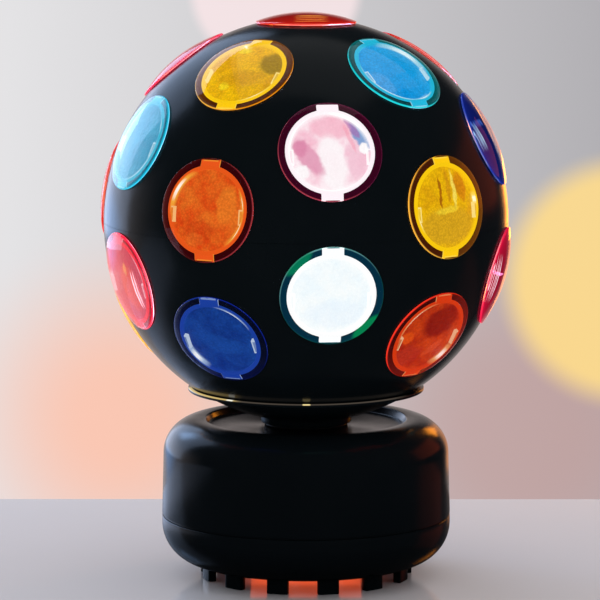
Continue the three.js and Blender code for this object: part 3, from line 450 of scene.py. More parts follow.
# %% Palette of the lenses
PALETTES = {
    # face, second tone, smooth band, glints, lap over the shell, slant glow, lit edge and its bearing
    "pink": ("#fff0f5", "#f6bccf", "#fff8fc", "#ffffff", "#4a0024", "#c03278", "#c84b55", 228),
    "mint": ("#fcffff", "#f0faff", "#ffffff", "#ffffff", "#003c56", "#00826e", "#78b4b4", 115),
    "orange": ("#e65014", "#f08228", "#f0641e", "#ffd24b", "#460008", "#a02808", "#aa3c46", -15),
    "yellow": ("#facd0a", "#e1aa0f", "#ffd70f", "#fff078", "#5c2404", "#b46e0a", "#ffc850", 200),
    "sky": ("#00a0e6", "#32aff0", "#28c3e1", "#e6ffff", "#004a50", "#009696", "#28b4be", 235),
    "cyan": ("#0087aa", "#28a5c3", "#14b4cd", "#e6ffff", "#006478", "#14a0be", "#1e96a5", -30),
    "blue": ("#10368a", "#1c4ea6", "#1e46aa", "#d2ebff", "#040a28", "#0a1a6e", "#1e3c8c", 160),
    "rose": ("#be1e3c", "#d23c5a", "#fa1e37", "#ffe6f5", "#6e0514", "#f01e3c", "#ff5a6e", -20),
    "crimson": ("#b90f2d", "#d21941", "#d71e46", "#ff96c8", "#5f0019", "#b40a32", "#d22846", 200),
    "vermilion": ("#b4280f", "#dc4b14", "#e1410f", "#ffcd82", "#500503", "#b41e0a", "#c83228", 175),
    "red": ("#c81e0f", "#e6461e", "#e1230f", "#ffbe6e", "#640500", "#aa140a", "#b42814", -90),
}
UV_SPAN = 60
WALL_R = 19.2
LENS_R = 24.7


def across_lens(tree):
    """The place on the lens in millimetres from its middle, and the distance from there."""
    uv = add(tree, "UVMap", uv_map="across")
    centred = add(tree, "VectorMath", [uv, (0.5, 0.5, 0)], operation="SUBTRACT")
    place = add(tree, "VectorMath", [centred, UV_SPAN], operation="SCALE")
    return place, add(tree, "VectorMath", [place], operation="LENGTH")


def painted(tree, place, ground, patches, sway):
    """Soft ovals over a colour: place, half length, half width, tilt, colour and share of each."""
    swirl = add(tree, "TexNoise", [place, 1 / 5, 3]).outputs["Color"]
    wobble = add(tree, "VectorMath", [swirl, (sway, sway, 0), place], operation="MULTIPLY_ADD")
    for x, y, long, wide, tilt, colour, share in patches:
        spot = add(tree, "Mapping", {
            "Vector": wobble, "Location": (x + sway / 2, y + sway / 2, 0),
            "Rotation": (0, 0, math.radians(tilt)), "Scale": (long, wide, 1)}, vector_type="TEXTURE")
        reach = add(tree, "VectorMath", [spot], operation="LENGTH")
        inside = add(tree, "MapRange", [reach, 1.2, 0.75, 0, share], interpolation_type="SMOOTHSTEP")
        ground = add(tree, "Mix", [inside, ground, linear(colour)])
    return ground


print(len(PALETTES), "lens colours")

# %% [markdown]
# ## The domed front
# The dome is polished, so its roughness is very low. Acrylic has an index of 1.49; the value
# here is a little lower, matched to how faintly the domes mirror the studio. The dome's own
# glow is drawn in three rings: over the lit face, over the lap, and along the outer edge,
# which is lit on one side only, where the light inside the plastic leaves it. The domes on
# the ball's outline also carry a bright streak, the bulb's light caught in their edge.

# %% Lens fronts
STREAKS = {
    "lens_pole": [(1, -12, 8, 0.5, 0, "#ffb450", 0.8)],
    "lens_crown_2": [(-12, 1, 9, 0.6, 80, "#f0643c", 0.8)],
    "lens_crown_4": [(6, 2, 4, 0.45, 95, "#ff7dbe", 0.7)],
    "lens_upper_2": [(-18, 2, 7, 0.35, 96, "#bee6ff", 1), (-10, 8, 2, 0.5, 100, "#5078dc", 0.8)],
    "lens_lower_2": [(-15, 1, 11, 0.4, 84, "#fff0ff", 1), (-11, 3, 3.5, 0.5, 0, "#ff8cd2", 0.9)],
    "lens_lower_5": [(14, -2, 9, 0.6, 98, "#ffe1f5", 0.9)],
    "lens_lower_1": [(-16, 16.5, 8, 2.4, 45, "#005a3c", 0.8), (16.5, -16, 8, 2.6, 45, "#006437", 0.8)],
}


def lens_front(name, colour, streaks=()):
    face = PALETTES[colour][0]
    lap, slant, edge, bearing = PALETTES[colour][4:]
    material, tree, shader = new_material(name)
    place, radius = across_lens(tree)
    on_lap = add(tree, "MapRange", [radius, HOLE_R - 0.2, HOLE_R + 0.2])
    on_edge = add(tree, "MapRange", [radius, LENS_R - 0.45, LENS_R - 0.25])
    drift = add(tree, "TexNoise", [place, 1 / 9, 2])
    towards = (math.cos(math.radians(bearing)), math.sin(math.radians(bearing)), 0)
    side = add(tree, "VectorMath", [place, towards], operation="DOT_PRODUCT")
    wavering = add(tree, "Math", [drift, 16, side], operation="MULTIPLY_ADD")
    lit_side = add(tree, "MapRange", [wavering, 8, 30])
    edge_share = add(tree, "Math", [on_edge, lit_side], operation="MULTIPLY")
    slanting = add(tree, "LayerWeight", {"Blend": 0.5}).outputs["Facing"]
    slant_share = add(tree, "MapRange", [slanting, 0.25, 0.8])
    inner = add(tree, "Mix", [slant_share, linear("#000000"), linear(slant, 0.35)])
    outer = add(tree, "Mix", [slant_share, linear(lap, 0.25), linear(slant, 0.4)])
    dome = add(tree, "Mix", [on_lap, inner, outer])
    edged = add(tree, "Mix", [edge_share, dome, linear(edge, 0.6)])
    fill(shader, {
        "Emission Color": painted(tree, place, edged, streaks, 1.2), "Emission Strength": 1,
        "Base Color": [0.75 + 0.25 * c for c in linear(face)[:3]] + [1],
        "Transmission Weight": 1, "Roughness": 0.02, "IOR": 1.4})
    return material


lens_fronts = {c: lens_front(f"clear tinted acrylic, {c}", c) for c in PALETTES}
for name, streaks in STREAKS.items():
    lens_fronts[name] = lens_front(f"clear tinted acrylic, {name}", lens_colours[name], streaks)
print(len(lens_fronts), "front materials")

# %% [markdown]
# ## The lit back
# The back is moulded with small pebbles that scatter the bulb's light, and it is drawn as
# glowing by itself, because the bulb would be far too weak against the studio. Clouds of a
# second tone, pebbles, and a smooth band along the wall are mixed in turn. The two palest
# lenses are so bright in the photograph that their pebbles hardly show. A vertex attribute
# called glint marks where the wall, the clips and the tabs flash.

# %% Lens backs
def lens_back(name, colour, patches=()):
    face, second, band, glint = PALETTES[colour][:4]
    pale = colour in ("pink", "mint")
    # How far the pebbles' painted light and shade swing the glow, hardly at all on the palest lenses.
    pebble_shading = 0.03 if pale else 0.18
    material, tree, shader = new_material(name)
    place, radius = across_lens(tree)
    clouds = add(tree, "TexNoise", [place, 1 / 11, 4, 0.6])
    cloud_share = add(tree, "MapRange", [clouds, 0.36, 0.66])
    toned = add(tree, "Mix", [cloud_share, linear(face), linear(second)])
    patched = painted(tree, place, toned, patches, 4)
    pebbles = add(tree, "TexVoronoi", {"Vector": place, "Scale": 1 / 1.1, "Randomness": 1})
    sparkle = add(tree, "TexNoise", [place, 1 / 0.9, 2, 0.7])
    grit = add(tree, "Math", [pebbles, sparkle], operation="ADD")
    pebble_light = add(tree, "MapRange", [grit, 0.4, 1.3, 1 + pebble_shading, 1 - pebble_shading])
    pebbled = add(tree, "VectorMath", [patched, pebble_light], operation="SCALE")
    on_band = add(tree, "MapRange", [radius, WALL_R - 0.3, WALL_R])
    banded = add(tree, "Mix", [on_band, pebbled, linear(band)])
    hot = add(tree, "Attribute", attribute_name="glint").outputs["Fac"]
    core = add(tree, "MapRange", [hot, 0.75, 1])
    flash = add(tree, "Mix", [core, linear(glint), linear("#fffdf5", 1.3)])
    fill(shader, {
        "Emission Color": add(tree, "Mix", [hot, banded, flash]), "Emission Strength": 1.05 if pale else 1,
        "Normal": add(tree, "Bump", {"Height": pebbles, "Distance": 0.25 * MM, "Strength": 0.6}),
        "Base Color": linear(face, 0.03), "Roughness": 0.35, "Specular IOR Level": 0.1})
    return material


lens_backs = {c: lens_back(f"pebbled acrylic lit from behind, {c}", c) for c in PALETTES}
print(len(lens_backs), "back materials")

# %% [markdown]
# ## What shows through each lens
# The bulb and its holder stand off to one side behind most lenses, so each one shows its own
# streaks and shadows. The lenses on the front get theirs from the photograph, as soft oval
# patches in millimetres from the lens's middle, and the bearing and width of each glint on
# the wall of the hole.

# %% Patches and glints
PATCHES = {
    "lens_upper_1": [(1, 12, 10, 6, 0, "#f7bccd", 0.8), (12, -3, 5.5, 10, 0, "#f4c8d8", 0.8),
                     (1, -6, 7, 14, 8, "#fffcfd", 0.9), (-10.5, -2.4, 11, 4.4, -56, "#e196b4", 0.85),
                     (-14, 2, 4, 3.4, -50, "#d778a0", 0.5), (-14, -10, 4, 4, -40, "#ffffff", 0.9),
                     (9.5, 7, 7.5, 1.1, 108, "#f58ca5", 0.4), (14.5, 8, 8.5, 3, 118, "#6ea0d2", 0.9),
                     (16, 2, 2.5, 2.5, 0, "#ffffff", 1), (11, 12, 6, 1.6, 118, "#aa5faa", 0.6)],
    "lens_lower_1": [(2, -9, 14, 7, 0, "#e6f2ff", 0.35)],
    "lens_middle_1": [(0, -9, 18, 9, 0, "#dcaf23", 0.9), (-3.4, 7, 8, 0.8, 90, "#aa640a", 0.9),
                      (5.5, 8, 9, 1.3, 90, "#fff06e", 0.9), (2, 9, 8, 1.2, 90, "#d29614", 0.7),
                      (10, 9, 7, 3.5, 100, "#d2780f", 0.7), (0, -1.5, 8, 1.6, 5, "#ffe63c", 0.7)],
    "lens_crown_5": [(12.4, 8.4, 7.5, 7.5, 0, "#9b820f", 0.95), (-6, 15.5, 3.4, 2, 0, "#ffeb28", 0.9),
                     (-7, -9, 2.6, 3, 0, "#ffeb28", 0.9), (0, -3, 12, 5, 10, "#d2a012", 0.6)],
    "lens_middle_5": [(-4, -10, 8, 6, 0, "#cd3c0f", 0.5), (10, 3, 5, 9, 0, "#f5912d", 0.7),
                      (-6, -14, 5, 3, 0, "#fa8c32", 0.35)],
    "lens_bottom_5": [(0, -2, 12, 5, -15, "#1c50a8", 0.7)],
    "lens_bottom_1": [(5, 8, 11, 8, 20, "#820f0c", 0.8), (-13, 0, 3.5, 3.5, 0, "#f05a14", 0.9),
                      (6, -7, 6, 2.4, 40, "#e65528", 0.8), (-10, -12, 10, 6, 30, "#b93223", 0.7)],
    "lens_crown_1": [(-12, -6, 5, 8, 20, "#6ebef5", 0.5), (4, 2, 10, 9, 0, "#00a5eb", 0.8)],
    "lens_lower_5": [(0, -3, 9, 11, 10, "#e64608", 0.95), (-2, 6, 2, 3, 0, "#ffb450", 0.8)],
    "lens_pole": [(0, -8, 12, 3, 0, "#ffb43c", 0.9), (6, -14, 4, 2, 0, "#ffd2a0", 0.9)],
}
GLINTS = {
    "lens_pole": [(-92, 5)],
    "lens_crown_1": [(222, 62), (285, 24), (38, 48)],
    "lens_crown_2": [(200, 20)],
    "lens_crown_4": [(-20, 8)],
    "lens_crown_5": [(-50, 30), (110, 8)],
    "lens_upper_1": [(-90, 60), (60, 60), (170, 60)],
    "lens_upper_2": [(222, 6)],
    "lens_upper_5": [(-40, 50), (30, 12)],
    "lens_middle_1": [(200, 16), (8, 12)],
    "lens_middle_5": [(150, 40), (-28, 30), (12, 22)],
    "lens_lower_1": [(0, 180)],
    "lens_lower_2": [(210, 8)],
    "lens_lower_5": [(26, 26), (180, 12)],
    "lens_bottom_1": [(140, 44), (-40, 24)],
    "lens_bottom_5": [(52, 32), (215, 24)],
}
for name, patches in PATCHES.items():
    lens_backs[name] = lens_back(f"pebbled acrylic lit from behind, {name}", lens_colours[name], patches)
print(len(PATCHES), "lenses with patches of their own")

# %% [markdown]
# ## The lenses
# A lens is a shallow dome of clear plastic with a rim that laps over the shell, and behind
# it a round cup that fills the hole: a smooth band along the hole's edge, a wall, and the
# pebbled face below. Two tabs fill the notches, with bright ribs round their ends, and two
# small clips stand on the wall. Dome and cup are turned; the rest are bevelled blocks.

# %% Lens shapes
RIM = 0.9
SEAT_R = 100.3
APEX = 102.7
RIM_LOW = on_sphere(SEAT_R, LENS_R)
SAG = APEX - RIM_LOW - RIM
DOME_R = (LENS_R ** 2 + SAG ** 2) / (2 * SAG)
FACE_R = 98.2
FACE_T = 1.4
BAND_TOP_R = 100.12
WALL_SLOPE = 0.2
BAND_R = 21.1
BAND_LOW = on_sphere(BAND_TOP_R, BAND_R)
SKIRT_R = 20.3
SKIRT_IN_R = SKIRT_R - 1.2
SKIRT_LOW = 93.3


def lens_dome():
    """The clear front: its underside follows the ball, its top is a flatter dome."""
    return spin_profile([
        (0, SEAT_R), (0, 0, shell_angle(SEAT_R, LENS_R), 10), (LENS_R, RIM_LOW + RIM),
        (0, APEX - DOME_R, -shell_angle(DOME_R, LENS_R), 14)], [([1, 2], 0.35, 3)], 72, False)


def lens_cup():
    """The part in the hole: pebbled face, wall, band and skirt."""
    return spin_profile([
        (0, FACE_R), (0, 0, shell_angle(FACE_R, WALL_R - WALL_SLOPE), 10),
        (WALL_R, on_sphere(BAND_TOP_R, WALL_R)),
        (0, 0, shell_angle(BAND_TOP_R, BAND_R) - shell_angle(BAND_TOP_R, WALL_R), 2),
        (BAND_R, BAND_LOW - 1.2), (SKIRT_R, BAND_LOW - 1.6), (SKIRT_R, SKIRT_LOW), (SKIRT_IN_R, SKIRT_LOW),
        (SKIRT_IN_R, on_sphere(FACE_R - FACE_T, SKIRT_IN_R)),
        (0, 0, -shell_angle(FACE_R - FACE_T, SKIRT_IN_R), 4)], [([2, 3], 0.2, 2)], 72, False)


print("the dome's radius is", round(DOME_R, 1), "mm")

# %% Make the lenses
WALL_FOOT = 94.5
TAB_BLOCKS = [
    # size, place at the upper end of the lens, how brightly it flashes
    ((10.0, 4.2, 3), (0, 21.35, 96.3), 0),
    ((0.9, 3.6, 3.1), (-4.5, 21.5, 96.17), 0.55),
    ((0.9, 3.6, 3.1), (4.5, 21.5, 96.17), 0.55),
    ((8.2, 0.7, 3.1), (0, 23, 95.93), 0.4),
]
CLIP_BLOCKS = [
    # the same, at the right side of the lens
    ((2.6, 7.4, 2.6), (18.3, -2.5, 96.9), 0.8),
    ((1.3, 6.0, 2.75), (18.3, -2.5, 96.9), 0.3),
]


def ball_tilt(x, y, z):
    """A place in millimetres over the lens, leaning with the ball's surface there."""
    lean = Matrix.Rotation(-math.atan2(y, z), 4, "X") @ Matrix.Rotation(math.atan2(x, z), 4, "Y")
    return lean @ shift(0, 0, math.hypot(x, y, z))


def lens_blocks(bm, glint):
    """Tabs, the bright ribs round their ends, and the clips, whose outlines catch more light."""
    for side in (-1, 1):
        blocks = [(size, (x, side * y, z), bright) for size, (x, y, z), bright in TAB_BLOCKS]
        blocks += [(size, (side * x, y, z), bright) for size, (x, y, z), bright in CLIP_BLOCKS]
        for size, spot, bright in blocks:
            known = set(bm.verts)
            merge_into(bm, block(size, ball_tilt(*spot), 0.15))
            for v in set(bm.verts) - known:
                v[glint] = bright


def angle_between(a, b):
    return abs((a - b + 180) % 360 - 180)


def make_lens(name, turn_deg, glints):
    colour = lens_colours[name]
    cup = lens_cup()
    glint = cup.verts.layers.float.new("glint")
    for v in cup.verts:
        x, y, z = v.co / MM
        bearing = math.degrees(math.atan2(y, x))
        if WALL_R - 0.5 < math.hypot(x, y) < WALL_R + 0.8 and z > WALL_FOOT:
            shares = [1 - (angle_between(bearing, peak) / width) ** 2 for peak, width in glints]
            v[glint] = max(0, *shares)
    lens_blocks(cup, glint)
    for face in cup.faces:
        face.material_index = 1
    lens = lens_dome()
    merge_into(lens, cup)
    across = lens.loops.layers.uv.new("across")
    spun = Matrix.Rotation(math.radians(turn_deg), 2)
    for face in lens.faces:
        for loop in face.loops:
            loop[across].uv = spun @ loop.vert.co.xy / MM / UV_SPAN + Vector((0.5, 0.5))
    moved(lens, lens_places[name])
    materials = [lens_fronts.get(name, lens_fronts[colour]), lens_backs.get(name, lens_backs[colour])]
    finish_piece(name.replace("lens", "clear_lens"), lens, materials, "ball", [name])


for i, name in enumerate(lens_places):
    turn_deg = 0 if name in PATCHES or name in STREAKS else 47 * i
    make_lens(name, turn_deg, GLINTS.get(name, [(150 + 13 * i % 40, 26), (-28 + 17 * i % 40, 20)]))

# %% [markdown]
# ## The turntable dish
# Under the ball sits a shallow dish that carries on the ball's curve down to a narrow neck.
# A short spigot inside centres the ball's mouth, and below the neck a hollow hub runs into
# the base. Some lamplight leaks out between ball and dish and gilds the lip, most of all on
# the left; it is drawn as a few soft ovals of glow that only the lip's top edge shows.

# %% Dish
CENTRE_Z = BALL_CENTRE.z / MM
NECK_R = 22.5
NECK_Z = 77.4
FLANGE_TOP = CENTRE_Z - MOUTH_DROP - 0.3
FLANGE_LOW = FLANGE_TOP - 1.6
FLANGE_R = 58.62
SPIGOT_R = 51.58
SPIGOT_IN_R = SPIGOT_R - 1.6
SPIGOT_TOP = FLANGE_TOP + 5
HUB_BORE = 9.5
HUB_R = 13
HUB_LOW = 62.2


def dish():
    """Down the spigot, bowl and bore, out under the hub and up round the neck to the flange."""
    bowl_end = on_sphere(BALL_R, CENTRE_Z - FLANGE_LOW)
    return spin_profile([
        (SPIGOT_R, SPIGOT_TOP), (SPIGOT_IN_R, SPIGOT_TOP),
        (SPIGOT_IN_R, CENTRE_Z - on_sphere(SHELL_IN_R, SPIGOT_IN_R)),
        (0, CENTRE_Z, shell_angle(SHELL_IN_R, SPIGOT_IN_R) - shell_angle(SHELL_IN_R, HUB_BORE), 16),
        (HUB_BORE, HUB_LOW), (HUB_R, HUB_LOW), (HUB_R, NECK_Z), (NECK_R, NECK_Z),
        (NECK_R, CENTRE_Z - on_sphere(BALL_R, NECK_R)),
        (0, CENTRE_Z, shell_angle(BALL_R, NECK_R) - shell_angle(BALL_R, bowl_end), 24),
        (FLANGE_R, FLANGE_LOW), (FLANGE_R, FLANGE_TOP), (SPIGOT_R, FLANGE_TOP)],
        [([10, 11], 0.5, 4), ([0, 1, 7], 0.4, 3)], 160)


LIP_GLOW = [(0, -50, 55, 30, 0, "#4a423a", 1), (-50.7, -28.1, 27, 12, 119, "#ddc07a", 0.9),
            (-37.1, -44.6, 2, 2, 0, "#fffae6", 1), (0.2, -58, 1.8, 1.8, 0, "#ffe6a0", 1)]


def lamplit_black():
    """The ball's black, with the lamplight that leaks out over the dish's lip."""
    material = moulded_plastic("moulded gloss polystyrene, black, lamplit at its lip", *GLOSS_BLACK)
    tree = material.node_tree
    place = add(tree, "TexCoord").outputs["Object"]
    height = add(tree, "SeparateXYZ", [place]).outputs["Z"]
    flat = add(tree, "VectorMath", [place, (1 / MM, 1 / MM, 0)], operation="MULTIPLY")
    reach = add(tree, "VectorMath", [flat], operation="LENGTH")
    on_ledge = add(tree, "MapRange", [reach, FLANGE_R - 2.0, FLANGE_R - 1.3])
    on_top = add(tree, "MapRange", [height, (FLANGE_TOP - 0.5) * MM, (FLANGE_TOP - 0.2) * MM])
    share = add(tree, "Math", [on_ledge, on_top], operation="MULTIPLY")
    glow = painted(tree, flat, linear("#000000"), LIP_GLOW, 1.5)
    fill(tree.nodes["Principled BSDF"], {
        "Emission Color": add(tree, "Mix", [share, linear("#000000"), glow]), "Emission Strength": 1})
    return material


finish_piece("carrying_dish", dish(), [lamplit_black()], "turntable", ["turntable_dish"])

# %% [markdown]
# ## The base
# The base is a drum with a big soft shoulder, in two mouldings that meet at a fine seam. The
# top has a shallow recess for the neck. The bottom curves under to a ring of foot blocks,
# with slots between them that let air in and light out. Both halves are turned, and the
# switch's flat, the cord's hole and the screw wells are cut with Booleans.

# %% Upper housing
BASE_R = 71.8
BASE_TOP_R = 71
BASE_TOP = 79
BASE_WALL = 2.5
BASE_IN_R = BASE_R - BASE_WALL
SEAM_Z = 31
SEAM_LOW = SEAM_Z - 0.15
SEAM_HIGH = SEAM_Z + 0.15
SHOULDER_R = 17
RECESS_R = 50
RECESS_Z = 75.8
RECESS_LOW = RECESS_Z - 2.4
HUB_HOLE_R = 16
SWITCH_TURN = 38
SWITCH_Z = 44
BEZEL_W, BEZEL_H = 15, 21
GROMMET_Z = 42


def side_radius(z):
    return BASE_R + (BASE_TOP_R - BASE_R) * (z - SEAM_Z) / (BASE_TOP - SHOULDER_R - SEAM_Z)


def upper_housing():
    """Up the side from the seam, over the shoulder and the recess, and back inside."""
    r, z = BASE_TOP_R - SHOULDER_R, BASE_TOP - SHOULDER_R
    inner_arc = SHOULDER_R - BASE_WALL
    return spin_profile([
        (BASE_R - 0.5, SEAM_HIGH), (BASE_R - 0.5, SEAM_Z + 0.75), (BASE_R, SEAM_Z + 0.9),
        (BASE_TOP_R, z), (r, z, -90, 24), (RECESS_R, BASE_TOP), (RECESS_R - 1.6, RECESS_Z),
        (HUB_HOLE_R, RECESS_Z), (HUB_HOLE_R, RECESS_LOW),
        (r + on_sphere(inner_arc, RECESS_LOW - z), RECESS_LOW),
        (r, z, shell_angle(inner_arc, RECESS_LOW - z), 16), (BASE_IN_R, SEAM_HIGH)],
        [([5, 6], 0.8, 4), ([2, 7], 0.15, 2)])


upper_base = finish_piece(
    "upper_base_moulding", upper_housing(), [BASE_BLACK], "base", ["base_upper_housing"])
SWITCH_PLACE = turn("Z", SWITCH_TURN) @ shift(0, side_radius(SWITCH_Z) - 1.1, SWITCH_Z)
cut(upper_base, block((BEZEL_W + 0.6, 6, BEZEL_H + 0.6), SWITCH_PLACE @ shift(0, 3, 0), 0.6))
cut(upper_base, block((13.6, 12, 19.6), SWITCH_PLACE, 0.4))
GROMMET_PAD_Y = side_radius(GROMMET_Z) - 0.8
BACKWARD = turn("X", -90)
for radius, middle, depth in ((6.3, GROMMET_PAD_Y + 2.5, 5), (4.7, GROMMET_PAD_Y - 2, 12)):
    cut(upper_base, rods(radius, depth, [shift(0, middle, GROMMET_Z) @ BACKWARD], 48))
smooth(upper_base.data, 30)

# %% Lower housing
HEEL_R = 20
FOOT_H = 7.2
HEEL_MID_R = BASE_R - HEEL_R
HEEL_MID_Z = FOOT_H + HEEL_R
TONGUE_R = BASE_IN_R - 0.4
TONGUE_IN_R = TONGUE_R - 1.5
TONGUE_TOP = SEAM_Z + 2.5
FOOT_R = 52.8
FOOT_WALL = 4
FOOT_COUNT = 13
FOOT_STEP = 360 / FOOT_COUNT
FOOT_TURN = -1.7
FOOT_SLOT = 16
CASE_SCREW_R = 60
CASE_SCREW_ANGLES = (60, 180, 300)
COLUMN_R = 4
COLUMN_Z = 20


def lower_housing():
    """Out along the floor, up round the heel to the seam and its tongue, and back inside."""
    inner_heel, out = HEEL_R - BASE_WALL, TONGUE_IN_R - HEEL_MID_R
    return spin_profile([
        (0, FOOT_H), (HEEL_MID_R, FOOT_H), (HEEL_MID_R, HEEL_MID_Z, -90, 24), (BASE_R, SEAM_LOW),
        (TONGUE_R, SEAM_LOW), (TONGUE_R, TONGUE_TOP), (TONGUE_IN_R, TONGUE_TOP),
        (TONGUE_IN_R, HEEL_MID_Z - on_sphere(inner_heel, out)),
        (HEEL_MID_R, HEEL_MID_Z, shell_angle(inner_heel, out), 16), (0, FOOT_H + BASE_WALL)],
        [([3], 0.4, 3)], closed=False)


def foot_blocks():
    bm = bmesh.new()
    for k in range(FOOT_COUNT):
        foot = bmesh.new()
        face = foot.faces.new([
            foot.verts.new(((FOOT_R - FOOT_WALL * inward) * MM, 0, (FOOT_H + 1) * MM * upward))
            for inward, upward in ((0, 0), (1, 0), (1, 1), (0, 1))])
        sweep = math.radians(FOOT_STEP - FOOT_SLOT)
        bmesh.ops.spin(foot, geom=[face], cent=(0, 0, 0), axis=(0, 0, 1), angle=sweep, steps=5)
        bmesh.ops.recalc_face_normals(foot, faces=foot.faces)
        low = [e for e in foot.edges if e.calc_face_angle(0) > 1 and min(v.co.z for v in e.verts) < 1e-5]
        bevel(foot, low, 0.5, 2)
        merge_into(bm, moved(foot, turn("Z", -90 + FOOT_TURN + FOOT_STEP * k + FOOT_SLOT / 2)))
    return bm


def screw_places(z):
    return [turn("Z", angle) @ shift(CASE_SCREW_R, 0, z) for angle in CASE_SCREW_ANGLES]


def screw_columns():
    """The columns round the screw wells; their feet end inside the curved wall."""
    bm = rods(COLUMN_R, 20, screw_places(COLUMN_Z), 32)
    for v in bm.verts:
        out = max(math.hypot(v.co.x, v.co.y) / MM - HEEL_MID_R, 0)
        low_end = HEEL_MID_Z - on_sphere(HEEL_R - BASE_WALL / 2, out)
        v.co.z = (low_end if v.co.z < COLUMN_Z * MM else SEAM_LOW) * MM
    return bm


lower_bm = lower_housing()
merge_into(lower_bm, screw_columns())
lower_base = finish_piece(
    "lower_base_moulding", lower_bm, [BASE_BLACK], "base", ["base_lower_housing"], 30)
for radius, top in ((3.1, 21), (1.7, SEAM_Z + 2)):
    cut(lower_base, rods(radius, top, screw_places(top / 2), 40))
with_feet = bmesh.new()
with_feet.from_mesh(lower_base.data)
merge_into(with_feet, foot_blocks())
with_feet.to_mesh(lower_base.data)
with_feet.free()
smooth(lower_base.data, 30)
print(lower_base.name, "with wells and feet:", len(lower_base.data.polygons), "faces")

# %% [markdown]
# ## Finishes of the fittings
# The inner parts are ordinary stock: nylon gears, a grey polypropylene deck, a porcelain
# lampholder, brass for the lamp's post and cap, zinc-plated steel for the screws and the
# motor's can, and white PVC on the leads. Plastics and porcelain use the same recipe as the
# black plastics, with their usual index of about 1.5. Metals get fine brushing or tumbling
# marks and a little tarnish, drawn coarser than life, at 0.6 mm.

# %% Fittings' materials
MARK_MM = 0.6
STAIN_MM = 9


def stock_metal(name, colour, tarnish, roughness, stretch):
    material, tree, shader = new_material(name)
    place = add(tree, "TexCoord").outputs["Object"]
    drawn_out = add(tree, "Mapping", {"Vector": place, "Scale": (1, 1, stretch)})
    marks = add(tree, "TexNoise", [drawn_out, 1 / (MARK_MM * MM), 3, 0.6])
    stain = add(tree, "TexNoise", [place, 1 / (STAIN_MM * MM), 4, 0.6])
    stained = add(tree, "MapRange", [stain, 0.5, 0.75, 0, 0.6])
    fill(shader, {
        "Base Color": add(tree, "Mix", [stained, linear(colour), linear(tarnish)]),
        "Roughness": add(tree, "MapRange", [marks, 0, 1, roughness - 0.08, roughness + 0.12]),
        "Normal": add(tree, "Bump", {"Height": marks, "Distance": 0.01 * MM, "Strength": 1}),
        "Metallic": 1})
    return material


BRASS = stock_metal("turned brass, lacquered", "#c9a860", "#8a6a34", 0.26, 6)
STEEL = stock_metal("rolled steel, zinc plated", "#b4b8bc", "#8c8f92", 0.32, 4)
NYLON = moulded_plastic("moulded nylon, natural", "#e4dfd0", 0.42, 0.06, (0.6, 0.01), (8, 0.05), 1.5)
ACETAL = moulded_plastic("moulded acetal, black", "#101114", 0.34, 0.06, (0.6, 0.006), (8, 0.04), 1.45)
DECK_GREY = moulded_plastic(
    "moulded polypropylene, grey", "#56595e", 0.5, 0.06, (0.8, 0.02), (12, 0.08), 1.5)
PORCELAIN = moulded_plastic(
    "glazed porcelain, white", "#ece9e1", 0.14, 0.05, (1.2, 0.004), (7, 0.06), 1.55)
PVC_WHITE = moulded_plastic("extruded PVC, white", "#e6e4de", 0.4, 0.06, (0.7, 0.01), (5, 0.04), 1.5)
print("fittings' materials:", BRASS.name, "/", STEEL.name, "/", PORCELAIN.name)

# %% [markdown]
# ## The bulb
# The bulb is a frosted globe on a small screw cap. While it burns, its glass glows evenly,
# whiter in the middle, where more light comes straight out, and warmer at the edge. Layer
# Weight gives that change. The glass is 1 mm thick and open at its neck.

# %% Bulb globe
HOLDER_TOP = CENTRE_Z - 30
GLOBE_R = 22.5
GLOBE_IN_R = GLOBE_R - 1
GLOBE_NECK_R = 9.5
GLOBE_NECK_IN_R = GLOBE_NECK_R - 1
GLOBE_LOW = HOLDER_TOP + 2.4


def lit_frosted_glass():
    material, tree, shader = new_material("frosted glass, lit from inside")
    place = add(tree, "TexCoord").outputs["Object"]
    frost = add(tree, "TexNoise", [place, 1 / (1.4 * MM), 3])
    turned_away = add(tree, "LayerWeight", {"Blend": 0.4}).outputs["Facing"]
    tone = add(tree, "Mix", [turned_away, linear("#fffaf0"), linear("#f2cf94")])
    dim = add(tree, "MapRange", [frost, 0, 1, 0.86, 1.06])
    fill(shader, {
        "Emission Color": add(tree, "VectorMath", [tone, dim], operation="SCALE"), "Emission Strength": 1,
        "Normal": add(tree, "Bump", {"Height": frost, "Distance": 0.02 * MM, "Strength": 1}),
        "Base Color": linear("#efece4", 0.3), "Roughness": 0.3, "IOR": 1.5})
    return material


def globe():
    return spin_profile([
        (0, CENTRE_Z + GLOBE_R), (0, CENTRE_Z, 180 - shell_angle(GLOBE_R, GLOBE_NECK_R), 40),
        (GLOBE_NECK_R, GLOBE_LOW), (GLOBE_NECK_IN_R, GLOBE_LOW),
        (GLOBE_NECK_IN_R, CENTRE_Z - on_sphere(GLOBE_IN_R, GLOBE_NECK_IN_R)),
        (0, CENTRE_Z, shell_angle(GLOBE_IN_R, GLOBE_NECK_IN_R) - 180, 40)], [([1], 2.0, 5)], 72, False)


finish_piece("frosted_bulb_globe", globe(), [lit_frosted_glass()], "base", ["bulb_globe"])

# %% [markdown]
# ## Cap, lampholder and post
# The bulb's brass cap has a rolled screw thread and a foot, which is black glass on a real
# bulb and shares the cap's brass here. The thread is drawn as rings, because its climb of
# 2.8 mm a turn is hidden in the holder. The porcelain holder is a thick tube with a waist and
# a rounded rim, and it stands on a brass tube with a fine thread along its whole length, the
# usual lamp maker's post, through which the lead comes up.

# %% Cap, holder and post
CAP_R = 7


def turned(outline, rounding, steps=64):
    """A ring or disc turned from straight runs; one that starts on the axis stays open there."""
    closed = outline[0][0] > 0
    corners = [*range(1, len(outline)), 0] if closed else range(1, len(outline) - 1)
    return spin_profile(outline, [(corners, rounding, 3)] if rounding else (), steps, closed)


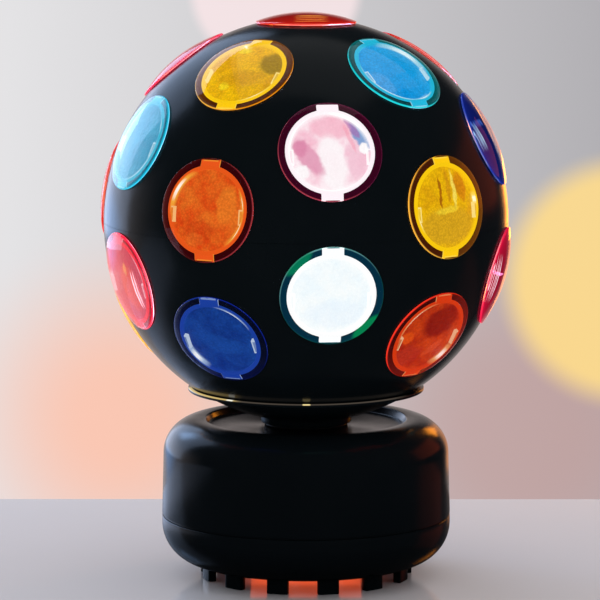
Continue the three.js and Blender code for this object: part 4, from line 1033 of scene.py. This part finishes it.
def cap():
    low = HOLDER_TOP - 25
    thread = [(CAP_R - 0.55 * (i % 2), low + 5 + 1.4 * i) for i in range(13)]
    return turned([
        (0, low), (2.4, low), (2.9, low + 1), (5.6, low + 3), *thread, (CAP_R - 0.3, HOLDER_TOP + 0.3),
        (CAP_R + 1.6, HOLDER_TOP + 0.3), (CAP_R + 1.6, HOLDER_TOP + 2.1), (0, HOLDER_TOP + 2.1)], 0.25)


def holder():
    low = HOLDER_TOP - 48
    return turned([
        (5.3, low), (12.4, low), (13.5, low + 1.6), (13.5, low + 7), (12.6, low + 9),
        (12.6, HOLDER_TOP - 12), (13.5, HOLDER_TOP - 9), (13.5, HOLDER_TOP), (7.7, HOLDER_TOP),
        (7.7, HOLDER_TOP - 25.3), (2.5, HOLDER_TOP - 25.3), (2.5, low + 12), (5.3, low + 12)], 0.6)


def post():
    low, high = 47, HOLDER_TOP - 36.3
    turns = round(high - low)
    pitch = (high - low) / turns
    thread = [(5 - 0.3 * (i % 2), low + pitch / 2 * i) for i in range(2 * turns + 1)]
    return turned([(3.5, low), *thread, (3.5, high)], 0, 40)


finish_piece("screw_bulb_cap", cap(), [BRASS], "base", ["bulb_cap"], 50)
finish_piece("porcelain_lampholder", holder(), [PORCELAIN], "base", ["lampholder"])
finish_piece("threaded_post", post(), [BRASS], "base", ["lamp_post"], 70)

# %% [markdown]
# ## Bush, grommet and case screws
# The neck's hub runs in a flanged bush of black acetal. The cord would enter through a soft
# rubber grommet with a collar inside and out; it is turned about Z and laid over to point
# backwards. The screws that hold the base together are pan heads with a cross recess, sunk
# in wells under the base; the recess is cut with two crossed blocks.

# %% Bush, grommet and screws
BUSH_LOW = RECESS_Z - 4.4
bush = turned([
    (13.3, BUSH_LOW), (15.7, BUSH_LOW), (15.7, RECESS_Z + 0.3), (20.5, RECESS_Z + 0.3),
    (20.5, RECESS_Z + 1.3), (13.3, RECESS_Z + 1.3)], 0.25, 96)
finish_piece("flanged_hub_bush", bush, [ACETAL], "base", ["hub_bush"])

GROMMET_OUT = GROMMET_PAD_Y + 0.3
GROMMET_IN = 68.08
grommet = turned([
    (3.3, GROMMET_IN - 1.2), (5.6, GROMMET_IN - 1.2), (5.6, GROMMET_IN), (4.4, GROMMET_IN),
    (4.4, GROMMET_OUT), (6, GROMMET_OUT), (6, GROMMET_OUT + 1.3), (5.2, GROMMET_OUT + 2),
    (3.3, GROMMET_OUT + 2)], 0.18, 48)
moved(grommet, shift(0, 0, GROMMET_Z) @ BACKWARD)
finish_piece("rubber_grommet", grommet, [RUBBER_BLACK], "base", ["cord_grommet"])

SCREW_SEAT = 20.7
HEAD_LOW = SCREW_SEAT - 1.8
for k, place in enumerate(screw_places(0), 1):
    screw = moved(turned([
        (0, HEAD_LOW), (2.0, HEAD_LOW), (2.8, SCREW_SEAT - 1.1), (2.8, SCREW_SEAT), (1.4, SCREW_SEAT),
        (1.4, SCREW_SEAT + 21), (0, SCREW_SEAT + 22)], 0.12, 32), place)
    piece = finish_piece(
        f"cross_head_case_screw_{k}", screw, [STEEL], "base", [f"case_screw_{k}"])
    for size in ((3.2, 0.7, 2.2), (0.7, 3.2, 2.2)):
        cut(piece, block(size, place @ shift(0, 0, HEAD_LOW), 0.1))

# %% [markdown]
# ## The rocker switch
# The switch is a stock snap-in rocker in a grey case. Its bezel lies on a flat that is cut
# into the base. The case is two blocks with rounded edges and a well cut into them. The black
# paddle has a shallow V on top, so one end always stands up; at rest it is tipped to one side.

# %% Switch
BEZEL_T = 1.6
CASE_DEPTH = 17
PADDLE_W = 10
PADDLE_SIDE = [(-8, 5.1), (-8, 0), (-3, -3), (3, -3), (8, 0), (8, 5.1), (4, 4.3), (0, 4.0), (-4, 4.3)]

case = block((BEZEL_W, BEZEL_T, BEZEL_H), SWITCH_PLACE @ shift(0, 1.1, 0), 0.45)
merge_into(case, block((13, CASE_DEPTH + 0.9, 19), SWITCH_PLACE @ shift(0, (0.9 - CASE_DEPTH) / 2, 0), 0.3))
piece = finish_piece("snap_in_switch_case", case, [DECK_GREY], "base", ["switch_case"])
cut(piece, block((10.8, 16, 17.8), SWITCH_PLACE @ shift(0, 1.9, 0), 0.2))

paddle = bmesh.new()
flank = paddle.faces.new([paddle.verts.new((-PADDLE_W / 2 * MM, y * MM, z * MM)) for z, y in PADDLE_SIDE])
pushed = bmesh.ops.extrude_face_region(paddle, geom=[flank])["geom"]
bmesh.ops.translate(
    paddle, vec=(PADDLE_W * MM, 0, 0), verts=[v for v in pushed if isinstance(v, bmesh.types.BMVert)])
bmesh.ops.recalc_face_normals(paddle, faces=paddle.faces)
bevel(paddle, [e for e in paddle.edges if e.calc_face_angle(0) > 0.6], 0.5, 3)
moved(paddle, SWITCH_PLACE @ shift(0, -2, 0) @ turn("X", 8))
finish_piece("rocker_switch_paddle", paddle, [BALL_BLACK], "rocker", ["rocker_paddle"])

# %% [markdown]
# ## Parts that stay as the CAD has them
# The gears, the motor, the deck and the wiring lie inside the closed base, where the CAD's
# own shapes are enough, so they only get their real materials.

# %% Materials of the hidden parts
HIDDEN_PARTS = {
    DECK_GREY: ["chassis_deck"],
    NYLON: ["drive_gear", "drive_pinion"],
    STEEL: ["gear_retainer", "motor_shaft", "drive_motor", "motor_screw_1", "motor_screw_2",
            "deck_screw_1", "deck_screw_2", "deck_screw_3"],
    BRASS: ["post_nut_upper", "post_nut_lower"],
    PVC_WHITE: ["terminal_block", "lamp_lead", "motor_lead", "switch_lead"],
}
for material, names in HIDDEN_PARTS.items():
    for name in names:
        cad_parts[name].data.materials[0] = material
print(sum(len(names) for names in HIDDEN_PARTS.values()), "CAD nodes keep their shapes")

# %% [markdown]
# ## The table
# The lamp stands on a pale lacquered board, glossy enough to mirror the base. Its back edge
# runs a hand's width behind the lamp, where the photograph shows a faint line, and it ends
# just in front, so that the front of the base mirrors a dark room as it does there. All of
# it but the back on the left is dark to rays other than the camera's, because the ball's
# underside mirrors it and is black in the photograph. Lacquer is smooth, and a little
# cloudy in its tone.

# %% Table top
def table_lacquer():
    material, tree, shader = new_material("lacquered board, pale grey")
    place = add(tree, "TexCoord").outputs["Object"]
    cloud = add(tree, "TexNoise", [place, 9, 4])
    tone = add(tree, "Mix", [cloud, linear("#e1dfe2"), linear("#e7e4e6")])
    depth = add(tree, "VectorMath", [place, (-0.6, 1, 0)], operation="DOT_PRODUCT")
    backward = add(tree, "MapRange", [depth, 0.14, 0.22])
    mirrored = add(tree, "Mix", [backward, linear("#38393c"), linear("#cddaf0")])
    seen = add(tree, "LightPath").outputs["Is Camera Ray"]
    fill(shader, {
        "Base Color": add(tree, "Mix", [seen, mirrored, tone]),
        "Roughness": add(tree, "MapRange", [cloud, 0, 1, 0.05, 0.11]),
        "IOR": 1.5})
    return material


table = new_object("table_top", block((3200, 350, 30), shift(0, 25, -15), 3), [table_lacquer()])
table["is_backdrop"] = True
print("table top:", [round(d, 2) for d in table.dimensions])

# %% [markdown]
# ## The studio
# The camera sees a pale backdrop, a little darker to the right, with the blurred lights of
# the room as soft discs: warm ones on both sides and a pale one above. Reflections and glass
# see a backdrop too, but only low down behind the lamp, where a photographer's hangs; the
# rest of the studio is dark to them, so the front of the ball stays black. A bluish glare
# low behind on the left draws the band down the base's side. All else is lit evenly.

# %% World
BLURRED_LIGHTS = [
    # across and up in the view's direction, radius, blur, colour, share
    (-0.0083, -0.0505, 0.0226, 0.1, "#fbe7e9", 0.8),
    (-0.05, -0.166, 0.031, 0.75, "#ffc3aa", 0.85),
    (0.058, -0.17, 0.038, 0.7, "#c39c98", 0.7),
    (0.0855, -0.129, 0.031, 0.16, "#ffdc8c", 0.9),
]
world = bpy.data.worlds.new("studio")
scene.world = world
world.use_nodes = True
studio = world.node_tree
ray = add(studio, "LightPath")
direction = add(studio, "TexCoord").outputs["Generated"]
parts = add(studio, "SeparateXYZ", [direction])
rightward = add(studio, "MapRange", [parts.outputs["X"], -0.08, 0.08])
backdrop = add(studio, "Mix", [rightward, linear("#e4e3e5"), linear("#b2b0b4")])
flat_direction = add(studio, "VectorMath", [direction, (1, 0, 1)], operation="MULTIPLY")
for x, z, radius, blur, colour, share in BLURRED_LIGHTS:
    apart = add(studio, "VectorMath", [flat_direction, (x, 0, z)], operation="DISTANCE")
    edge = [radius * (1 + blur), radius * (1 - blur)]
    disc = add(studio, "MapRange", [apart, *edge, 0, share], interpolation_type="SMOOTHSTEP")
    backdrop = add(studio, "Mix", [disc, backdrop, linear(colour)])

facing = add(studio, "VectorMath", [direction, (-0.45, 0.89, 0)], operation="DOT_PRODUCT")
behind = add(studio, "MapRange", [facing, 0.5, 0.95])
low = add(studio, "MapRange", [parts.outputs["Z"], 0.36, 0.1])
hung = add(studio, "Math", [behind, low], operation="MULTIPLY")
mirrored = add(studio, "Mix", [hung, linear("#242529"), linear("#dccfcc")])
stretched = add(studio, "VectorMath", [direction, (1, 1, 2.5)], operation="MULTIPLY")
aside = add(studio, "VectorMath", [stretched, (-0.58, 0.8, -0.28)], operation="DISTANCE")
glare = add(studio, "MapRange", [aside, 0.34, 0.1], interpolation_type="SMOOTHSTEP")
glared = add(studio, "Mix", [glare, mirrored, linear("#a0c3fa", 1.9)])

bounced = add(studio, "Math", [
    ray.outputs["Is Glossy Ray"], ray.outputs["Is Transmission Ray"]], operation="MAXIMUM")
lighting = add(studio, "Mix", [bounced, linear("#d8d8da"), glared])
fill(studio.nodes["Background"], {
    "Color": add(studio, "Mix", [ray.outputs["Is Camera Ray"], lighting, backdrop]), "Strength": 1})
print("world:", world.name)

# %% [markdown]
# ## Lamps
# A lamp's power follows from its size and its radiance. A big cool soft box behind on the
# left draws the broad blue-grey band down the ball's left side. A narrow warm one behind on
# the right draws the thin orange rim, a weak warm card to the right tints that side, and a
# large one above lights the tops. Two small ones close behind, hidden from the camera, put
# the lights on the base's shoulders. A small lamp under the base stands for the bulb's light
# that leaves by the vents and shows between the feet.

# %% Lamps
BALL = (0, 0, 0.15)
BASE = (0, 0, 0.08)
LAMPS = [
    # name, place, width and height, radiance, colour, aimed at, seen by the camera
    ("soft_box_left", (-1.02, 1.25, 0.72), (1.5, 1.7), 2.0, "#bcd4fa", BALL, True),
    ("soft_box_right", (0.62, 1.72, 0.02), (0.45, 0.6), 1.0, "#ff9628", BALL, True),
    ("shoulder_light_left", (-0.32, 0.36, 0.3), (0.12, 0.12), 4, "#a0c8ff", BASE, False),
    ("shoulder_light_right", (0.19, 0.28, 0.168), (0.07, 0.07), 6, "#ff9628", BASE, False),
    ("warm_card_right", (1.3, 0.75, 0.45), (1.0, 0.6), 0.5, "#ff6432", BALL, True),
    ("soft_box_top", (0.1, 0.5, 2.2), (2.2, 2.0), 0.3, "#ffffff", BALL, True),
    ("glow_under_base", (0, 0, 0.0068), (0.055, 0.055), 1.0, "#ff6034", (0, 0, 0), True),
]
for name, place, (width, height), radiance, colour, target, seen in LAMPS:
    light = bpy.data.lights.new(name, "AREA")
    light.shape = "RECTANGLE"
    light.size = width
    light.size_y = height
    light.energy = radiance * math.pi * width * height
    light.color = linear(colour)[:3]
    lamp = link_new(name, light)
    point(lamp, place, target)
    lamp.visible_camera = seen
print(len(LAMPS), "lamps")

# %% [markdown]
# ## Sizes
# Both boxes, the CAD model's and the dressed model's, are gathered side by side, and the dressed one is
# printed. The dressed model must not outgrow the CAD model.

# %% Measure and finish
size = {"cad": [list(corner) for corner in cad_box], "visual": [list(corner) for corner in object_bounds()]}
print("visual box:", [round(c, 4) for corner in size["visual"] for c in corner])
